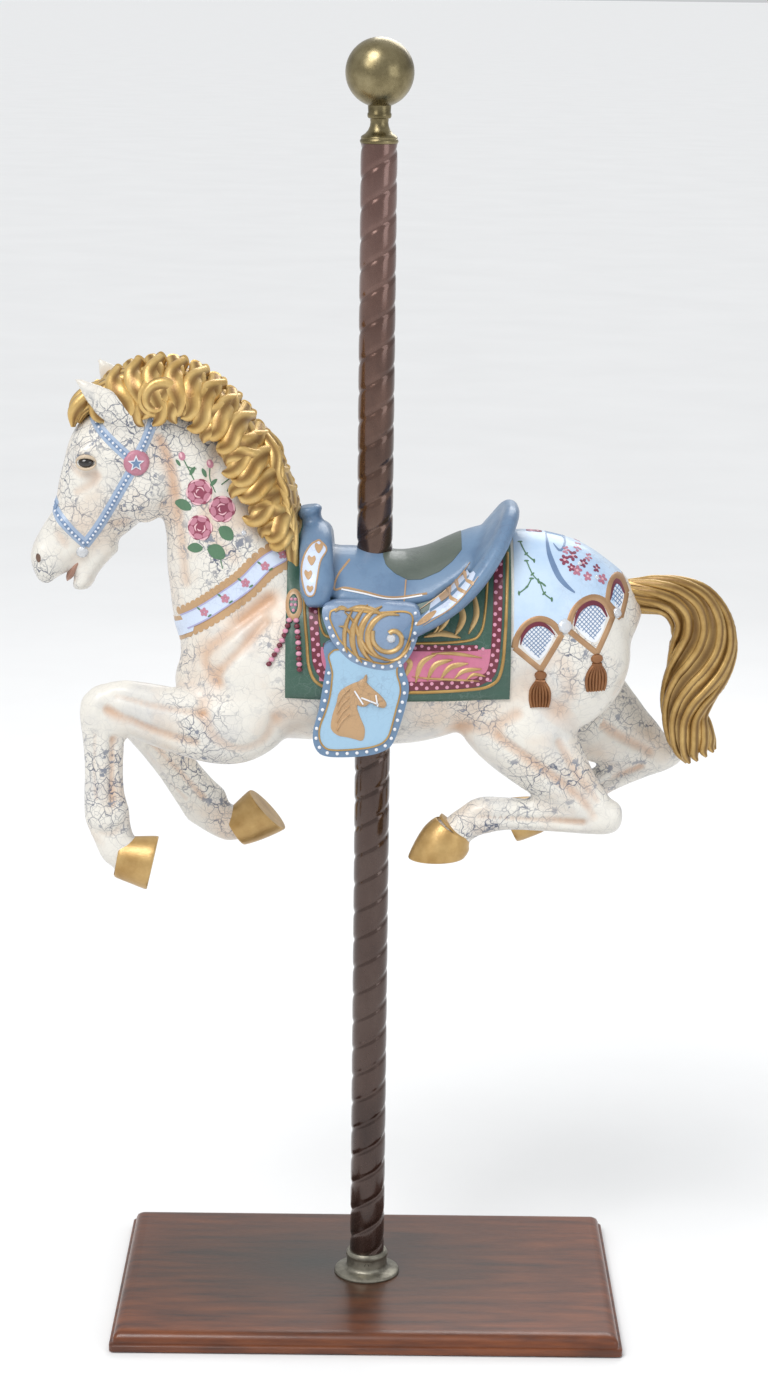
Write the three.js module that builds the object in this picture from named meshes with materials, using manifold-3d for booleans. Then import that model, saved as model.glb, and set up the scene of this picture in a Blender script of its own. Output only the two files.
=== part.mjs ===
// A decorator's carousel horse, 54 inches high, on its stand. The horse is one painted casting with its tack,
// mane and tail on it; it rides on a rope-twisted tube that stands in a floor flange on a moulded board.
// Millimetres, +Z up. The origin is on the board's underside, on the tube's axis. The horse faces -X, and
// its left side, the dressed side, is at -Y.
import * as THREE from "three";
import { mergeVertices } from "three/addons/utils/BufferGeometryUtils.js";
import Module from "manifold-3d";

const wasm = await Module();
wasm.setup();

// ---- driving dimensions -------------------------------------------------------------------------
const BOARD = { length: 549, width: 338, thick: 21, edge: 6 };
const FLANGE = { radius: 36, thick: 4.5, collarRadius: 22.5, collarHeight: 26 };
const POLE = { radius: 19.4, top: 1265, starts: 2, lead: 63, groove: 1.6 };
const BALL = { radius: 35.4, centre: 1336.5 };
const GAP = 0.3; // air between two pieces that only touch
const HALF_TURN = Math.PI;
const COLOURS = {
  paint: 0xe4dfd2,
  wood: 0x5a2c14,
  bronze: 0x4a3029,
  steel: 0x5c5a55,
  brass: 0x9a8450,
  pewter: 0x6f6c62,
  crystal: 0xdfe6f2,
};

// ---- solids from lofts, outlines and turned profiles --------------------------------------------
function solid(geometry) {
  const bare = geometry.clone();
  for (const name of ["normal", "uv"]) bare.deleteAttribute(name);
  const merged = mergeVertices(bare, 1e-3);
  return new wasm.Manifold(
    new wasm.Mesh({
      numProp: 3,
      vertProperties: new Float32Array(merged.attributes.position.array),
      triVerts: new Uint32Array(merged.index.array),
    }),
  );
}

function geometryOf(made) {
  const mesh = made.getMesh();
  const stride = mesh.numProp;
  const points = new Float32Array(mesh.numVert * 3);
  for (let i = 0; i < mesh.numVert; i++) {
    points.set(mesh.vertProperties.subarray(i * stride, i * stride + 3), 3 * i);
  }
  const geometry = new THREE.BufferGeometry();
  geometry.setAttribute("position", new THREE.BufferAttribute(points, 3));
  geometry.setIndex(new THREE.BufferAttribute(mesh.triVerts, 1));
  geometry.computeVertexNormals();
  return geometry;
}

const union = (solids) => solids.reduce((whole, next) => whole.add(next));

// The outer skin alone, so that no pocket is left shut inside where parts of the casting run together.
const cast = (made) => made.decompose().reduce((most, next) => (next.volume() > most.volume() ? next : most));

// Catmull-Rom between the rows of a table, at t rows from the first.
function between(rows, t) {
  const i = Math.min(Math.floor(t), rows.length - 2);
  const f = t - i;
  const row = (k) => rows[Math.max(0, Math.min(rows.length - 1, k))];
  return rows[i].map((_, c) => {
    const [a, b, d, e] = [row(i - 1)[c], row(i)[c], row(i + 1)[c], row(i + 2)[c]];
    const square = (2 * a - 5 * b + 4 * d - e) * f * f;
    const cube = (3 * b - a - 3 * d + e) * f ** 3;
    return 0.5 * (2 * b + (d - a) * f + square + cube);
  });
}

const ACROSS = new THREE.Vector3(0, 1, 0);

// A closed body along a line of stations [x, y, z, half depth, half width, egg, lean]. Half width lies
// along `across`; egg narrows the side that half depth points to; lean turns a ring, in degrees.
function loft(stations, options = {}) {
  const { sides = 12, perSpan = 2, across = ACROSS, flutes = 0, fluteDepth = 0, twist = 0 } = options;
  const rows = stations.map((s) => [...s, ...Array(7 - s.length).fill(0)]);
  const rings = (rows.length - 1) * perSpan;
  const body = new THREE.CylinderGeometry(1, 1, 1, sides, rings);
  const spine = rows.map(([x, y, z]) => [x, y, z]);
  const place = body.attributes.position;
  const point = new THREE.Vector3();
  for (let i = 0; i < place.count; i++) {
    point.fromBufferAttribute(place, i);
    const t = (0.5 - point.y) * (rows.length - 1);
    const [x, y, z, depth, width, egg, lean] = between(rows, t);
    const step = 0.02;
    const ahead = new THREE.Vector3(...between(spine, Math.min(t + step, rows.length - 1)));
    const behind = new THREE.Vector3(...between(spine, Math.max(t - step, 0)));
    const along = ahead.sub(behind).normalize();
    const side = across.clone().addScaledVector(along, -across.dot(along)).normalize();
    const up = new THREE.Vector3().crossVectors(along, side);
    up.applyAxisAngle(side, THREE.MathUtils.degToRad(lean));
    const angle = Math.atan2(point.x, point.z);
    const groove = fluteDepth * Math.cos(flutes * angle + twist * t) ** 2;
    const size = Math.hypot(point.x, point.z) * (1 - groove);
    const rise = Math.cos(angle);
    const spread = Math.sin(angle) * (1 - egg * rise);
    point.set(x, y, z).addScaledVector(up, depth * size * rise).addScaledVector(side, width * size * spread);
    place.setXYZ(i, point.x, point.y, point.z);
  }
  return solid(body);
}

function ball([x, y, z], [rx, ry, rz], sides = 14) {
  const sphere = new THREE.SphereGeometry(1, sides, Math.round(sides * 0.6));
  return solid(sphere.scale(rx, ry, rz).translate(x, y, z));
}

// An outline in the side view, [x, z] points, cut right through from y0 to y1.
function slab(outline, y0, y1) {
  const corners = (points) => points.map(([x, z]) => new THREE.Vector2(x, z));
  const shape = outline instanceof THREE.Shape ? outline : new THREE.Shape(corners(outline));
  const plate = new THREE.ExtrudeGeometry(shape, { depth: y1 - y0, bevelEnabled: false, curveSegments: 4 });
  return solid(plate.rotateX(HALF_TURN / 2).translate(0, y1, 0));
}

// A strip `wide` across that follows [x, z] points in the side view.
function strip(points, wide) {
  const line = points.map(([x, z]) => new THREE.Vector2(x, z));
  const edge = (sign) =>
    line.map((p, i) => {
      const run = line[Math.min(i + 1, line.length - 1)].clone().sub(line[Math.max(i - 1, 0)]).normalize();
      return [p.x - (sign * run.y * wide) / 2, p.y + (sign * run.x * wide) / 2];
    });
  return [...edge(-1), ...edge(1).reverse()];
}

function turned(profile, sides) {
  const half = profile.map(([r, z]) => new THREE.Vector2(r, z));
  return new THREE.LatheGeometry(half, sides).rotateX(HALF_TURN / 2);
}

function grown(stations, thick) {
  return stations.map(([x, y, z, depth, width, ...rest]) => [x, y, z, depth + thick, width + thick, ...rest]);
}

const mirrored = (stations) => stations.map(([x, y, ...rest]) => [x, -y, ...rest]);

// ---- the horse's body -----------------------------------------------------------------------------
// Rows are [x, y, z, half depth, half width, egg, lean].
const TORSO = [
  [-202, 0, 714, 14, 16],
  [-191, 0, 717, 44, 44],
  [-167, 0, 723, 73, 64, 0.05],
  [-130, 0, 730, 91, 77, 0.1],
  [-85, 0, 735, 97, 86, 0.12],
  [-30, 0, 737, 100, 92, 0.14],
  [30, 0, 734, 99, 94, 0.14],
  [85, 0, 747, 95, 91, 0.12],
  [140, 0, 765, 99, 87, 0.08],
  [190, 0, 766, 94, 83, 0.05],
  [229, 0, 760, 76, 71],
  [252, 0, 752, 56, 55],
  [266, 0, 744, 34, 33],
  [271, 0, 742, 12, 12],
];
const NECK = [
  [-92, 0, 735, 89, 66],
  [-124, 0, 788, 92, 60],
  [-146, 0, 835, 77, 52],
  [-163, 0, 880, 62, 44],
  [-186, 0, 925, 52, 37],
  [-212, 0, 962, 43, 32],
  [-243, 0, 984, 33, 28],
  [-262, 0, 988, 20, 20],
];
const HEAD = [
  [-226, 0, 968, 26, 22],
  [-244, 0, 957, 48, 34],
  [-263, 0, 936, 61, 41],
  [-284, 0, 903, 52, 38],
  [-306, 0, 869, 38, 30],
  [-328, 0, 848, 28, 26],
  [-341, 0, 828, 24, 24],
  [-345, 0, 812, 14, 19],
  [-343, 0, 804, 5, 9],
];
const JAW = [
  [-284, 0, 852, 20, 24],
  [-295, 0, 834, 16, 21],
  [-303, 0, 819, 13, 18],
  [-308, 0, 807, 12, 17],
  [-313, 0, 800, 8, 14],
  [-314, 0, 796, 3, 7],
];
const EAR = {
  left: [
    [-246, -25, 970, 11, 9],
    [-260, -30, 984, 17, 11],
    [-278, -33, 998, 16, 9],
    [-295, -33, 1011, 10, 6],
    [-310, -31, 1023, 1.5, 2],
  ],
  right: [
    [-246, 24, 976, 12, 9],
    [-257, 29, 994, 19, 11],
    [-271, 31, 1010, 17, 9],
    [-284, 31, 1025, 10, 6],
    [-293, 30, 1038, 1.5, 2],
  ],
};
const LEGS = {
  leftFore: {
    upper: [
      [-106, -42, 706, 45, 34],
      [-127, -48, 680, 47, 36],
      [-147, -53, 667, 46, 34],
      [-172, -56, 664, 41, 30],
      [-207, -58, 669, 35, 26],
      [-240, -59, 678, 31, 23],
      [-266, -59, 684, 28, 21],
      [-283, -59, 688, 21, 18],
    ],
    lower: [
      [-287, -59, 705, 8, 9],
      [-285, -59, 696, 19, 18],
      [-284, -59, 678, 24, 21],
      [-283, -59, 650, 22.5, 18],
      [-283, -59, 620, 20.5, 15.5],
      [-283, -58, 588, 21.5, 16],
      [-280, -58, 564, 24, 19],
      [-275, -57, 544, 21, 16.5],
      [-268, -57, 527, 20.5, 17],
      [-258, -57, 516, 17, 15],
    ],
    hoof: [
      [-268, -57, 518, 20, 18],
      [-252, -57, 515, 23.5, 21],
      [-234, -57, 512, 27, 24, 0, 3],
    ],
  },
  rightFore: {
    upper: [
      [-100, 42, 700, 50, 34],
      [-122, 48, 674, 50, 36],
      [-150, 53, 658, 41, 32],
      [-185, 55, 650, 33, 27],
      [-220, 56, 645, 28, 23],
      [-248, 56, 643, 25, 21],
      [-262, 56, 644, 18, 17],
    ],
    lower: [
      [-270, 56, 660, 8, 9],
      [-263, 56, 653, 18, 18],
      [-252, 56, 639, 24, 20],
      [-235, 56, 616, 22.5, 17],
      [-213, 55, 586, 22, 15.5],
      [-194, 55, 560, 24, 16],
      [-181, 55, 544, 26, 19],
      [-170, 54, 531, 19.5, 16.5],
      [-155, 54, 524, 19, 17],
      [-144, 54, 521, 16, 15],
    ],
    hoof: [
      [-149, 54, 519, 18.5, 18],
      [-134, 54, 528.5, 23, 21],
      [-116, 54, 540, 26.5, 24, 0, -10],
    ],
  },
  leftHind: {
    upper: [
      [121, -40, 707, 50, 36],
      [141, -46, 679, 53, 39],
      [165, -50, 651, 49, 38],
      [190, -52, 622, 39, 31],
      [217, -53, 592, 27.5, 24],
      [238, -53, 574, 21, 20],
      [250, -53, 566, 14, 14],
    ],
    lower: [
      [266, -53, 568, 6, 7],
      [261, -53, 568, 15, 14],
      [248, -53, 567.5, 19.5, 18],
      [222, -53, 567, 18.5, 16],
      [182, -52, 568, 17.5, 14.5],
      [146, -52, 569, 17.5, 15],
      [119, -52, 567, 20, 18],
      [103, -52, 559, 18, 16],
      [91, -52, 550, 18, 16.5],
      [83, -52, 542, 16, 15],
    ],
    hoof: [
      [86.5, -52, 551, 20, 18],
      [79, -52, 540, 25, 22, 0, -8],
      [70, -52, 522, 28, 25, 0, -26],
    ],
  },
  rightHind: {
    upper: [
      [186, 38, 714, 52, 38],
      [210, 43, 684, 53, 40],
      [240, 47, 654, 51, 36],
      [270, 50, 634, 41, 29],
      [298, 52, 621, 27, 22],
      [318, 52, 612, 14, 15],
    ],
    lower: [
      [336, 52, 614, 6, 7],
      [331, 52, 612, 13, 14],
      [316, 52, 608, 17, 18],
      [290, 52, 598, 17, 16],
      [256, 52, 582, 17, 14.5],
      [224, 51, 562, 17.5, 15],
      [206, 51, 549, 19.5, 18],
      [192, 50, 542, 17.5, 16],
      [180, 50, 539, 16, 15],
    ],
    hoof: [
      [184, 50, 540, 17.5, 17],
      [170, 50, 537, 20.5, 20],
      [152, 50, 533, 22.5, 22, 0, -10],
    ],
  },
};

function leg({ upper, lower, hoof }) {
  return union([
    loft(upper, { sides: 10, perSpan: 1 }),
    loft(lower, { sides: 8, perSpan: 1 }),
    loft(hoof, { sides: 10, perSpan: 1 }),
  ]);
}

function head() {
  const cheeks = [-1, 1].map((s) => ball([-245, s * 20, 909], [36, 23, 39], 8));
  const brows = [-1, 1].map((s) => ball([-299, s * 27, 945], [17, 13, 13], 6));
  const eyes = [-1, 1].map((s) => ball([-301, s * 35, 937], [8, 5.5, 6], 6));
  const nostrils = [-1, 1].map((s) => ball([-350, s * 22, 838], [5, 6, 9], 6));
  const upper = loft(HEAD, { sides: 12, perSpan: 1 });
  const lower = loft(JAW, { sides: 6, perSpan: 1 });
  const skull = union([upper, lower, ...cheeks]);
  const ears = Object.values(EAR).map((ear) => loft(ear, { sides: 6, perSpan: 1 }));
  return union([skull, ...brows, ...eyes, ...ears]).subtract(union(nostrils));
}

// ---- mane and tail ---------------------------------------------------------------------------------
const CREST = [
  [-311, -4, 975, 6, 12],
  [-304, -3, 990, 12, 22],
  [-285, -2, 1006, 17, 28],
  [-258, 0, 1019, 21, 30],
  [-226, 0, 1022, 23, 34],
  [-190, 0, 1011, 27, 38],
  [-158, 0, 987, 29, 42],
  [-134, 0, 950, 31, 45],
  [-113, 0, 914, 33, 48],
  [-101, 0, 882, 27, 48],
  [-94, 0, 856, 15, 42],
];
// A lock's root on the crest, its bend and its tip, [x, z]; they hang on both sides of the neck.
const LOCKS = [
  [[-280, 1016], [-250, 1000], [-236, 970]],
  [[-232, 1036], [-202, 1014], [-200, 972]],
  [[-188, 1030], [-164, 996], [-176, 956]],
  [[-150, 1002], [-136, 968], [-156, 926]],
  [[-120, 962], [-116, 930], [-140, 892]],
  [[-96, 916], [-98, 888], [-110, 852]],
];
const LOCK = { root: 13, bend: 18, tip: 5, thick: 11, lie: 27, tipLie: 31, spread: 4.4 };

function mane() {
  const locks = LOCKS.flatMap(([root, bend, tip], i) =>
    [-1, 1].map((s) => {
      const lie = LOCK.lie + LOCK.spread * i;
      const rows = [
        [root[0], s * 10, root[1] - 4, LOCK.root, LOCK.thick],
        [bend[0], s * lie, bend[1], LOCK.bend, LOCK.thick],
        [tip[0], s * (LOCK.tipLie + LOCK.spread * i), tip[1], LOCK.tip, LOCK.tip],
      ];
      return loft(rows, { sides: 4, perSpan: 2 });
    }),
  );
  return union([loft(CREST, { sides: 8, perSpan: 1 }), ...locks]);
}

const TAIL = [
  [256, 0, 797, 17, 18],
  [284, 0, 796, 20, 20],
  [312, 0, 796, 22, 22],
  [338, 0, 782, 31, 25],
  [351, 0, 754, 37, 27],
  [348, 0, 722, 38, 28],
  [337, 0, 692, 30, 27],
  [334, 0, 664, 24, 23],
  [342, 0, 642, 26, 20],
  [349, 0, 628, 20, 15],
];

function tail() {
  return loft(TAIL, { sides: 12, perSpan: 2, flutes: 3, fluteDepth: 0.12, twist: 0.55 });
}

// ---- saddle, blanket and straps --------------------------------------------------------------------
const REACH = 130; // further out than any side of the body
const BLANKET = { front: -91, back: 142, hem: 702, thick: 5 };
const SEAT = { thick: 7, skirtThick: 16 };
const CANTLE = [
  [24, -98, 768, 9, 8],
  [52, -100, 782, 13, 9],
  [84, -97, 804, 15, 10],
  [110, -86, 833, 14, 10],
  [129, -66, 862, 12, 10],
  [140, -36, 881, 10, 10],
  [143, 0, 883, 9, 10],
];
const CANTLE_FACE = new THREE.Vector3(0.83, 0, -0.55);

function saddle() {
  const body = (thick) => loft(grown(TORSO, thick), { sides: 16, perSpan: 1 });
  const cloth = [
    [BLANKET.front, BLANKET.hem],
    [BLANKET.back, BLANKET.hem],
    [BLANKET.back, 900],
    [BLANKET.front, 900],
  ];
  const blanket = body(BLANKET.thick).intersect(slab(cloth, -REACH, REACH));
  const seatSide = [
    [-58, 796], [-30, 776], [30, 770], [62, 786],
    [100, 818], [128, 850], [128, 900], [-58, 900],
  ];
  const seat = body(SEAT.thick).intersect(slab(seatSide, -REACH, REACH));
  const board = [-66, -36, 0, 36, 66].map((y) => [121 - Math.abs(y) * 0.1, y, 858 - y * y * 0.0042, 28, 8]);
  const cantle = union([
    loft([...CANTLE, ...mirrored(CANTLE.slice(0, -1)).reverse()], { sides: 6, perSpan: 1, across: CANTLE_FACE }),
    loft(board, { sides: 6, perSpan: 1, across: CANTLE_FACE }),
  ]);
  const swell = [-80, -72, -48, 0, 48, 72, 80].map((y) => {
    const top = 862 - y * y * 0.0085;
    return [-63 + Math.abs(y) * 0.05, y, top - (Math.abs(y) === 80 ? 12 : 0), 11, Math.abs(y) === 80 ? 12 : 18];
  });
  const hornRows = [
    [-62, 0, 858, 12, 12],
    [-66, 0, 872, 9.5, 10],
    [-69, 0, 880, 13, 14],
    [-70, 0, 886, 11, 12],
  ];
  const horn = loft(hornRows, {
    sides: 8,
    perSpan: 1,
  });
  const pommel = union([loft(swell, { sides: 6, perSpan: 1, across: new THREE.Vector3(1, 0, 0) }), horn]);
  return union([blanket, seat, cantle, pommel, ...skirts(body)]);
}

// The round skirt and the square fender that hangs from under it, on each side.
function skirts(body) {
  const skirt = new THREE.Shape();
  skirt.absellipse(0, 776, 45, 43, 0, 2 * HALF_TURN);
  const fender = [
    [-46, 770], [-52, 715], [-64, 676], [-64, 658], [-56, 643],
    [-40, 638], [14, 643], [25, 656], [35, 704], [35, 770],
  ];
  return [-1, 1].flatMap((s) => {
    const span = (inner, outer) => (s < 0 ? [-outer, -inner] : [inner, outer]);
    const round = body(SEAT.skirtThick).intersect(slab(skirt, ...span(20, REACH)));
    return [round, slab(fender, ...span(70, 104))];
  });
}

const STRAP = { thick: 2.4, wide: 9 };

function straps() {
  const onHead = union([
    loft(grown(HEAD, STRAP.thick), { sides: 12, perSpan: 1 }),
    ball([-245, -20, 909], [38, 25.4, 41], 8),
    ball([-245, 20, 909], [38, 25.4, 41], 8),
  ]);
  const lines = [
    [[-316, 975], [-282, 962], [-249, 938]],
    [[-230, 1002], [-236, 970], [-249, 938]],
    [[-249, 938], [-274, 890], [-306, 842]],
    [[-352, 890], [-328, 866], [-306, 842]],
  ];
  const bridle = union(lines.map((line) => slab(strip(line, STRAP.wide), -REACH, REACH)));
  const rosettes = [-1, 1].map((s) => ball([-249, s * 42, 938], [12, 6, 12], 6));
  return union([onHead.intersect(bridle), ...rosettes]);
}

// The tassel that hangs at the front edge of the blanket: a bell and two short cords.
function tassels() {
  return [-1, 1].flatMap((s) => [
    ball([-84, s * 82, 804], [9, 7, 14], 6),
    loft([[-86, s * 84, 792, 3, 3], [-98, s * 84, 772, 4, 4], [-109, s * 82, 748, 4, 4]], { sides: 4, perSpan: 1 }),
    loft([[-83, s * 86, 790, 3, 3], [-80, s * 90, 768, 4, 4], [-76, s * 91, 742, 4, 4]], { sides: 4, perSpan: 1 }),
  ]);
}

// ---- the cast horse, bored for the tube -----------------------------------------------------------
const BORE_SIDES = 18;

function bore() {
  const radius = (POLE.radius + GAP) / Math.cos(HALF_TURN / BORE_SIDES);
  return solid(turned([[0, 500], [radius, 500], [radius, 1000], [0, 1000]], BORE_SIDES));
}

function horse() {
  const haunches = [-1, 1].map((s) => ball([200, s * 36, 742], [71, 50, 84], 10));
  const shoulders = [-1, 1].map((s) => ball([-132, s * 34, 716], [62, 48, 84], 10));
  const whole = union([
    loft(TORSO, { sides: 16, perSpan: 1 }),
    loft(NECK, { sides: 12, perSpan: 1 }),
    ...haunches,
    ...shoulders,
    ...Object.values(LEGS).map(leg),
    head(),
    mane(),
    tail(),
    saddle(),
    straps(),
    ...tassels(),
  ]);
  return cast(whole).subtract(bore());
}

// ---- the stand --------------------------------------------------------------------------------------
function board() {
  const { length, width, thick, edge } = BOARD;
  const shape = new THREE.Shape();
  const [x, y] = [length / 2 - edge, width / 2 - edge];
  shape.moveTo(-x, -y).lineTo(x, -y).lineTo(x, y).lineTo(-x, y).closePath();
  const options = { depth: thick - edge, bevelThickness: edge, bevelSize: edge, bevelOffset: 0, bevelSegments: 3 };
  const rounded = solid(new THREE.ExtrudeGeometry(shape, options).translate(0, 0, 0));
  const keep = solid(new THREE.BoxGeometry(length + 2, width + 2, thick).translate(0, 0, thick / 2));
  return rounded.intersect(keep);
}

function flange() {
  const { radius, thick, collarRadius, collarHeight } = FLANGE;
  const foot = BOARD.thick + GAP;
  const inner = POLE.radius + 2 * GAP;
  const profile = [
    [inner, foot],
    [radius, foot],
    [radius, foot + thick * 0.5],
    [radius - 3, foot + thick],
    [collarRadius + 1.5, foot + thick + 1],
    [collarRadius, foot + thick + 3],
    [collarRadius, foot + collarHeight - 1.5],
    [collarRadius - 1, foot + collarHeight],
    [inner, foot + collarHeight],
    [inner, foot],
  ];
  return solid(turned(profile, 16)).subtract(screwHole());
}

const SCREW = { radius: 2.6, height: 36, reach: 2.2 };

function screwRod(radius, from, to) {
  const rod = new THREE.CylinderGeometry(radius, radius, to - from, 10);
  return solid(rod.translate(0, -(from + to) / 2, SCREW.height));
}

const screwHole = () => screwRod(SCREW.radius + GAP, POLE.radius - 1, FLANGE.collarRadius + 3);
const setScrew = () => screwRod(SCREW.radius, POLE.radius + 2 * GAP, POLE.radius + 2 * GAP + SCREW.reach);

// Two grooves wind up the tube: every fourth vertex of the section is drawn in, and each ring is turned by
// one side from the ring below it.
function pole() {
  const foot = BOARD.thick + GAP;
  const sides = POLE.starts * 4;
  const rise = POLE.lead / sides;
  const rings = Math.floor((POLE.top - foot) / rise);
  const profile = Array.from({ length: rings + 1 }, (_, k) => new THREE.Vector2(1, foot + k * rise));
  profile.push(new THREE.Vector2(1, POLE.top), new THREE.Vector2(0, POLE.top));
  profile.unshift(new THREE.Vector2(0, foot));
  const tube = new THREE.LatheGeometry(profile, sides);
  const place = tube.attributes.position;
  for (let i = 0; i < place.count; i++) {
    const [x, y, z] = [place.getX(i), place.getY(i), place.getZ(i)];
    const angle = Math.atan2(x, z);
    const inGroove = Math.round((angle / (2 * HALF_TURN)) * sides + 4) % 4 === 0;
    const radius = Math.hypot(x, z) * (POLE.radius - (inGroove ? POLE.groove : 0));
    const turn = angle + ((y - foot) / POLE.lead) * 2 * HALF_TURN;
    place.setXYZ(i, radius * Math.sin(turn), y, radius * Math.cos(turn));
  }
  return solid(tube.rotateX(HALF_TURN / 2));
}

function finial() {
  const foot = POLE.top + GAP;
  const profile = [
    [0, foot],
    [POLE.radius, foot],
    [POLE.radius + 0.6, foot + 2],
    [POLE.radius, foot + 5],
    [POLE.radius - 3, foot + 7],
    [11, foot + 13],
    [9, foot + 18],
    [9.5, foot + 25],
    [12.5, foot + 27],
    [12.5, foot + 30],
  ];
  const lowest = Math.asin(12 / BALL.radius);
  const arc = Array.from({ length: 8 }, (_, i) => lowest + ((HALF_TURN - lowest) * i) / 7);
  const round = arc.map((a) => [Math.max(0, BALL.radius * Math.sin(a)), BALL.centre - BALL.radius * Math.cos(a)]);
  round[round.length - 1][0] = 0;
  return solid(turned([...profile, ...round], 14));
}

// ---- glass jewels -----------------------------------------------------------------------------------
// Cut stones glued to the paint: [name, x, z, radius], half sunk where they sit on each side.
const STONE_SIDES = 6;
const JEWELS = [
  ["bit", -307, 840, 7],
  ["skirt", 18, 768, 4.6],
  ["rump_large", 200, 782, 8],
  ["rump_dock", 254, 794, 5.5],
  ["bouquet_low", 232, 826, 2.8],
  ["bouquet_mid", 214, 841, 2.8],
  ["breast", -136, 868, 2.8],
];

function stone(radius) {
  const cut = [[0, -0.5], [1, 0], [0.55, 0.35], [0, 0.35]];
  return new THREE.LatheGeometry(cut.map(([r, h]) => new THREE.Vector2(r * radius, h * radius)), STONE_SIDES);
}

function stonePocket(radius) {
  const hole = new THREE.CylinderGeometry(radius + GAP, radius + GAP, radius * 1.2, STONE_SIDES);
  return hole.translate(0, radius * 0.05, 0);
}

// ---- assembly ----------------------------------------------------------------------------------------
const material = (color, roughness, metalness) => new THREE.MeshStandardMaterial({ color, roughness, metalness });
const paint = material(COLOURS.paint, 0.5, 0);
const wood = material(COLOURS.wood, 0.35, 0);
const bronze = material(COLOURS.bronze, 0.35, 0.7);
const steel = material(COLOURS.steel, 0.4, 0.9);
const brass = material(COLOURS.brass, 0.35, 0.9);
const pewter = material(COLOURS.pewter, 0.5, 0.8);
const crystal = material(COLOURS.crystal, 0.05, 0);

const carousel = new THREE.Group();
function piece(name, made, finish) {
  const mesh = new THREE.Mesh(geometryOf(made), finish);
  mesh.name = name;
  carousel.add(mesh);
}

// The casting, and the stones that are sunk into it where a line across the horse meets its skin.
let casting = horse();
const skin = new THREE.Mesh(geometryOf(casting), new THREE.MeshBasicMaterial({ side: THREE.DoubleSide }));
for (const [name, x, z, radius] of JEWELS) {
  for (const [sideName, s] of Object.entries({ left: -1, right: 1 })) {
    const ray = new THREE.Raycaster(new THREE.Vector3(x, s * REACH, z), new THREE.Vector3(0, -s, 0));
    const hit = ray.intersectObject(skin)[0];
    const facing = new THREE.Quaternion().setFromUnitVectors(ACROSS, hit.face.normal);
    const seat = hit.point.addScaledVector(hit.face.normal, -0.1 * radius);
    const put = (geometry) => solid(geometry.applyQuaternion(facing).translate(seat.x, seat.y, seat.z));
    casting = casting.subtract(put(stonePocket(radius)));
    piece(`jewel_${name}_${sideName}`, put(stone(radius)), crystal);
  }
}

piece("horse", casting, paint);
piece("base_board", board(), wood);
piece("floor_flange", flange(), pewter);
piece("set_screw", setScrew(), steel);
piece("pole", pole(), bronze);
piece("ball_finial", finial(), brass);

export default carousel;
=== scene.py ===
# A decorator's carousel horse on its stand, 54 inches high: a painted resin casting on a rope-twisted
# tube with a brass ball, standing in a flange on a mahogany board. Sizes are in millimetres and become
# metres when a mesh is made.
import math

import bmesh
import bpy
import numpy as np
from mathutils import Matrix, Vector
from mathutils.bvhtree import BVHTree


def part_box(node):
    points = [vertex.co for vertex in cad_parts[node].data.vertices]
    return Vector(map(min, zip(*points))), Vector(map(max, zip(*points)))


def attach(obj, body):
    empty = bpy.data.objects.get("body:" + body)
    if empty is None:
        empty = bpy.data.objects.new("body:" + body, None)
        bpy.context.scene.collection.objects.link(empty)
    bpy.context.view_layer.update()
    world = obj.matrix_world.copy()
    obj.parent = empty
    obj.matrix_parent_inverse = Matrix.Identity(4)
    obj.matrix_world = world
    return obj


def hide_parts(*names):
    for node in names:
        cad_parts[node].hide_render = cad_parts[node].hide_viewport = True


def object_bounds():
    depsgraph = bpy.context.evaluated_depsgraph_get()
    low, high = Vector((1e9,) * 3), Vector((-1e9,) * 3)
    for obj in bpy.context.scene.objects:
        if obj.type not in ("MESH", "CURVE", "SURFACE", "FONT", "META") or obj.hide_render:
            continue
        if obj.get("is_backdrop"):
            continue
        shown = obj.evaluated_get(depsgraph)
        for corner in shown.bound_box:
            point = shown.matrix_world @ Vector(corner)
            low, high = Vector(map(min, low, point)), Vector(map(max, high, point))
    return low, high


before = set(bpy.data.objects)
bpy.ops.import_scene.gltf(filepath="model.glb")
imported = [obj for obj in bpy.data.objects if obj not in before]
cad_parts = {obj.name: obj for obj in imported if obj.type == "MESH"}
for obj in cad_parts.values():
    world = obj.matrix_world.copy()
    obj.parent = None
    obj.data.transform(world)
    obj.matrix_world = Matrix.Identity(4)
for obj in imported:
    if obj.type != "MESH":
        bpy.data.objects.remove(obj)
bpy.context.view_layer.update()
bpy.ops.object.select_all(action="DESELECT")

# ---- Mahogany board --------------------------------------------------------------------------------
# A solid plank with a stepped and rounded moulding worked around its edge, stained red-brown and
# lacquered. Its colour is painted darker, near black, in a patch darkest a little left of and behind
# the pole, fading out towards the edges.
MM = 0.001


def linear(r, g, b):
    """A paint colour given as 0-255 screen values."""
    shares = [((c / 255 + 0.055) / 1.055) ** 2.4 if c > 10 else c / 255 / 12.92 for c in (r, g, b)]
    return (*shares, 1.0)


def wire(tree, source, sink):
    """Joins two sockets of a finish."""
    tree.links.new(source, sink)


def node(tree, kind, feeds=None, **settings):
    """A new node of a finish. `feeds` gives its inputs values, or the sockets that they are wired to."""
    made = tree.nodes.new("ShaderNode" + kind)
    for name, value in settings.items():
        setattr(made, name, value)
    for name, value in (feeds or {}).items():
        if isinstance(value, bpy.types.NodeSocket):
            wire(tree, value, made.inputs[name])
        else:
            made.inputs[name].default_value = value
    return made


def noise(tree, place, scale, detail, roughness=0.5):
    """How strong a cloudy pattern is at each place."""
    feeds = {"Vector": place, "Scale": scale, "Detail": detail, "Roughness": roughness}
    return node(tree, "TexNoise", feeds).outputs["Fac"]


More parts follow.
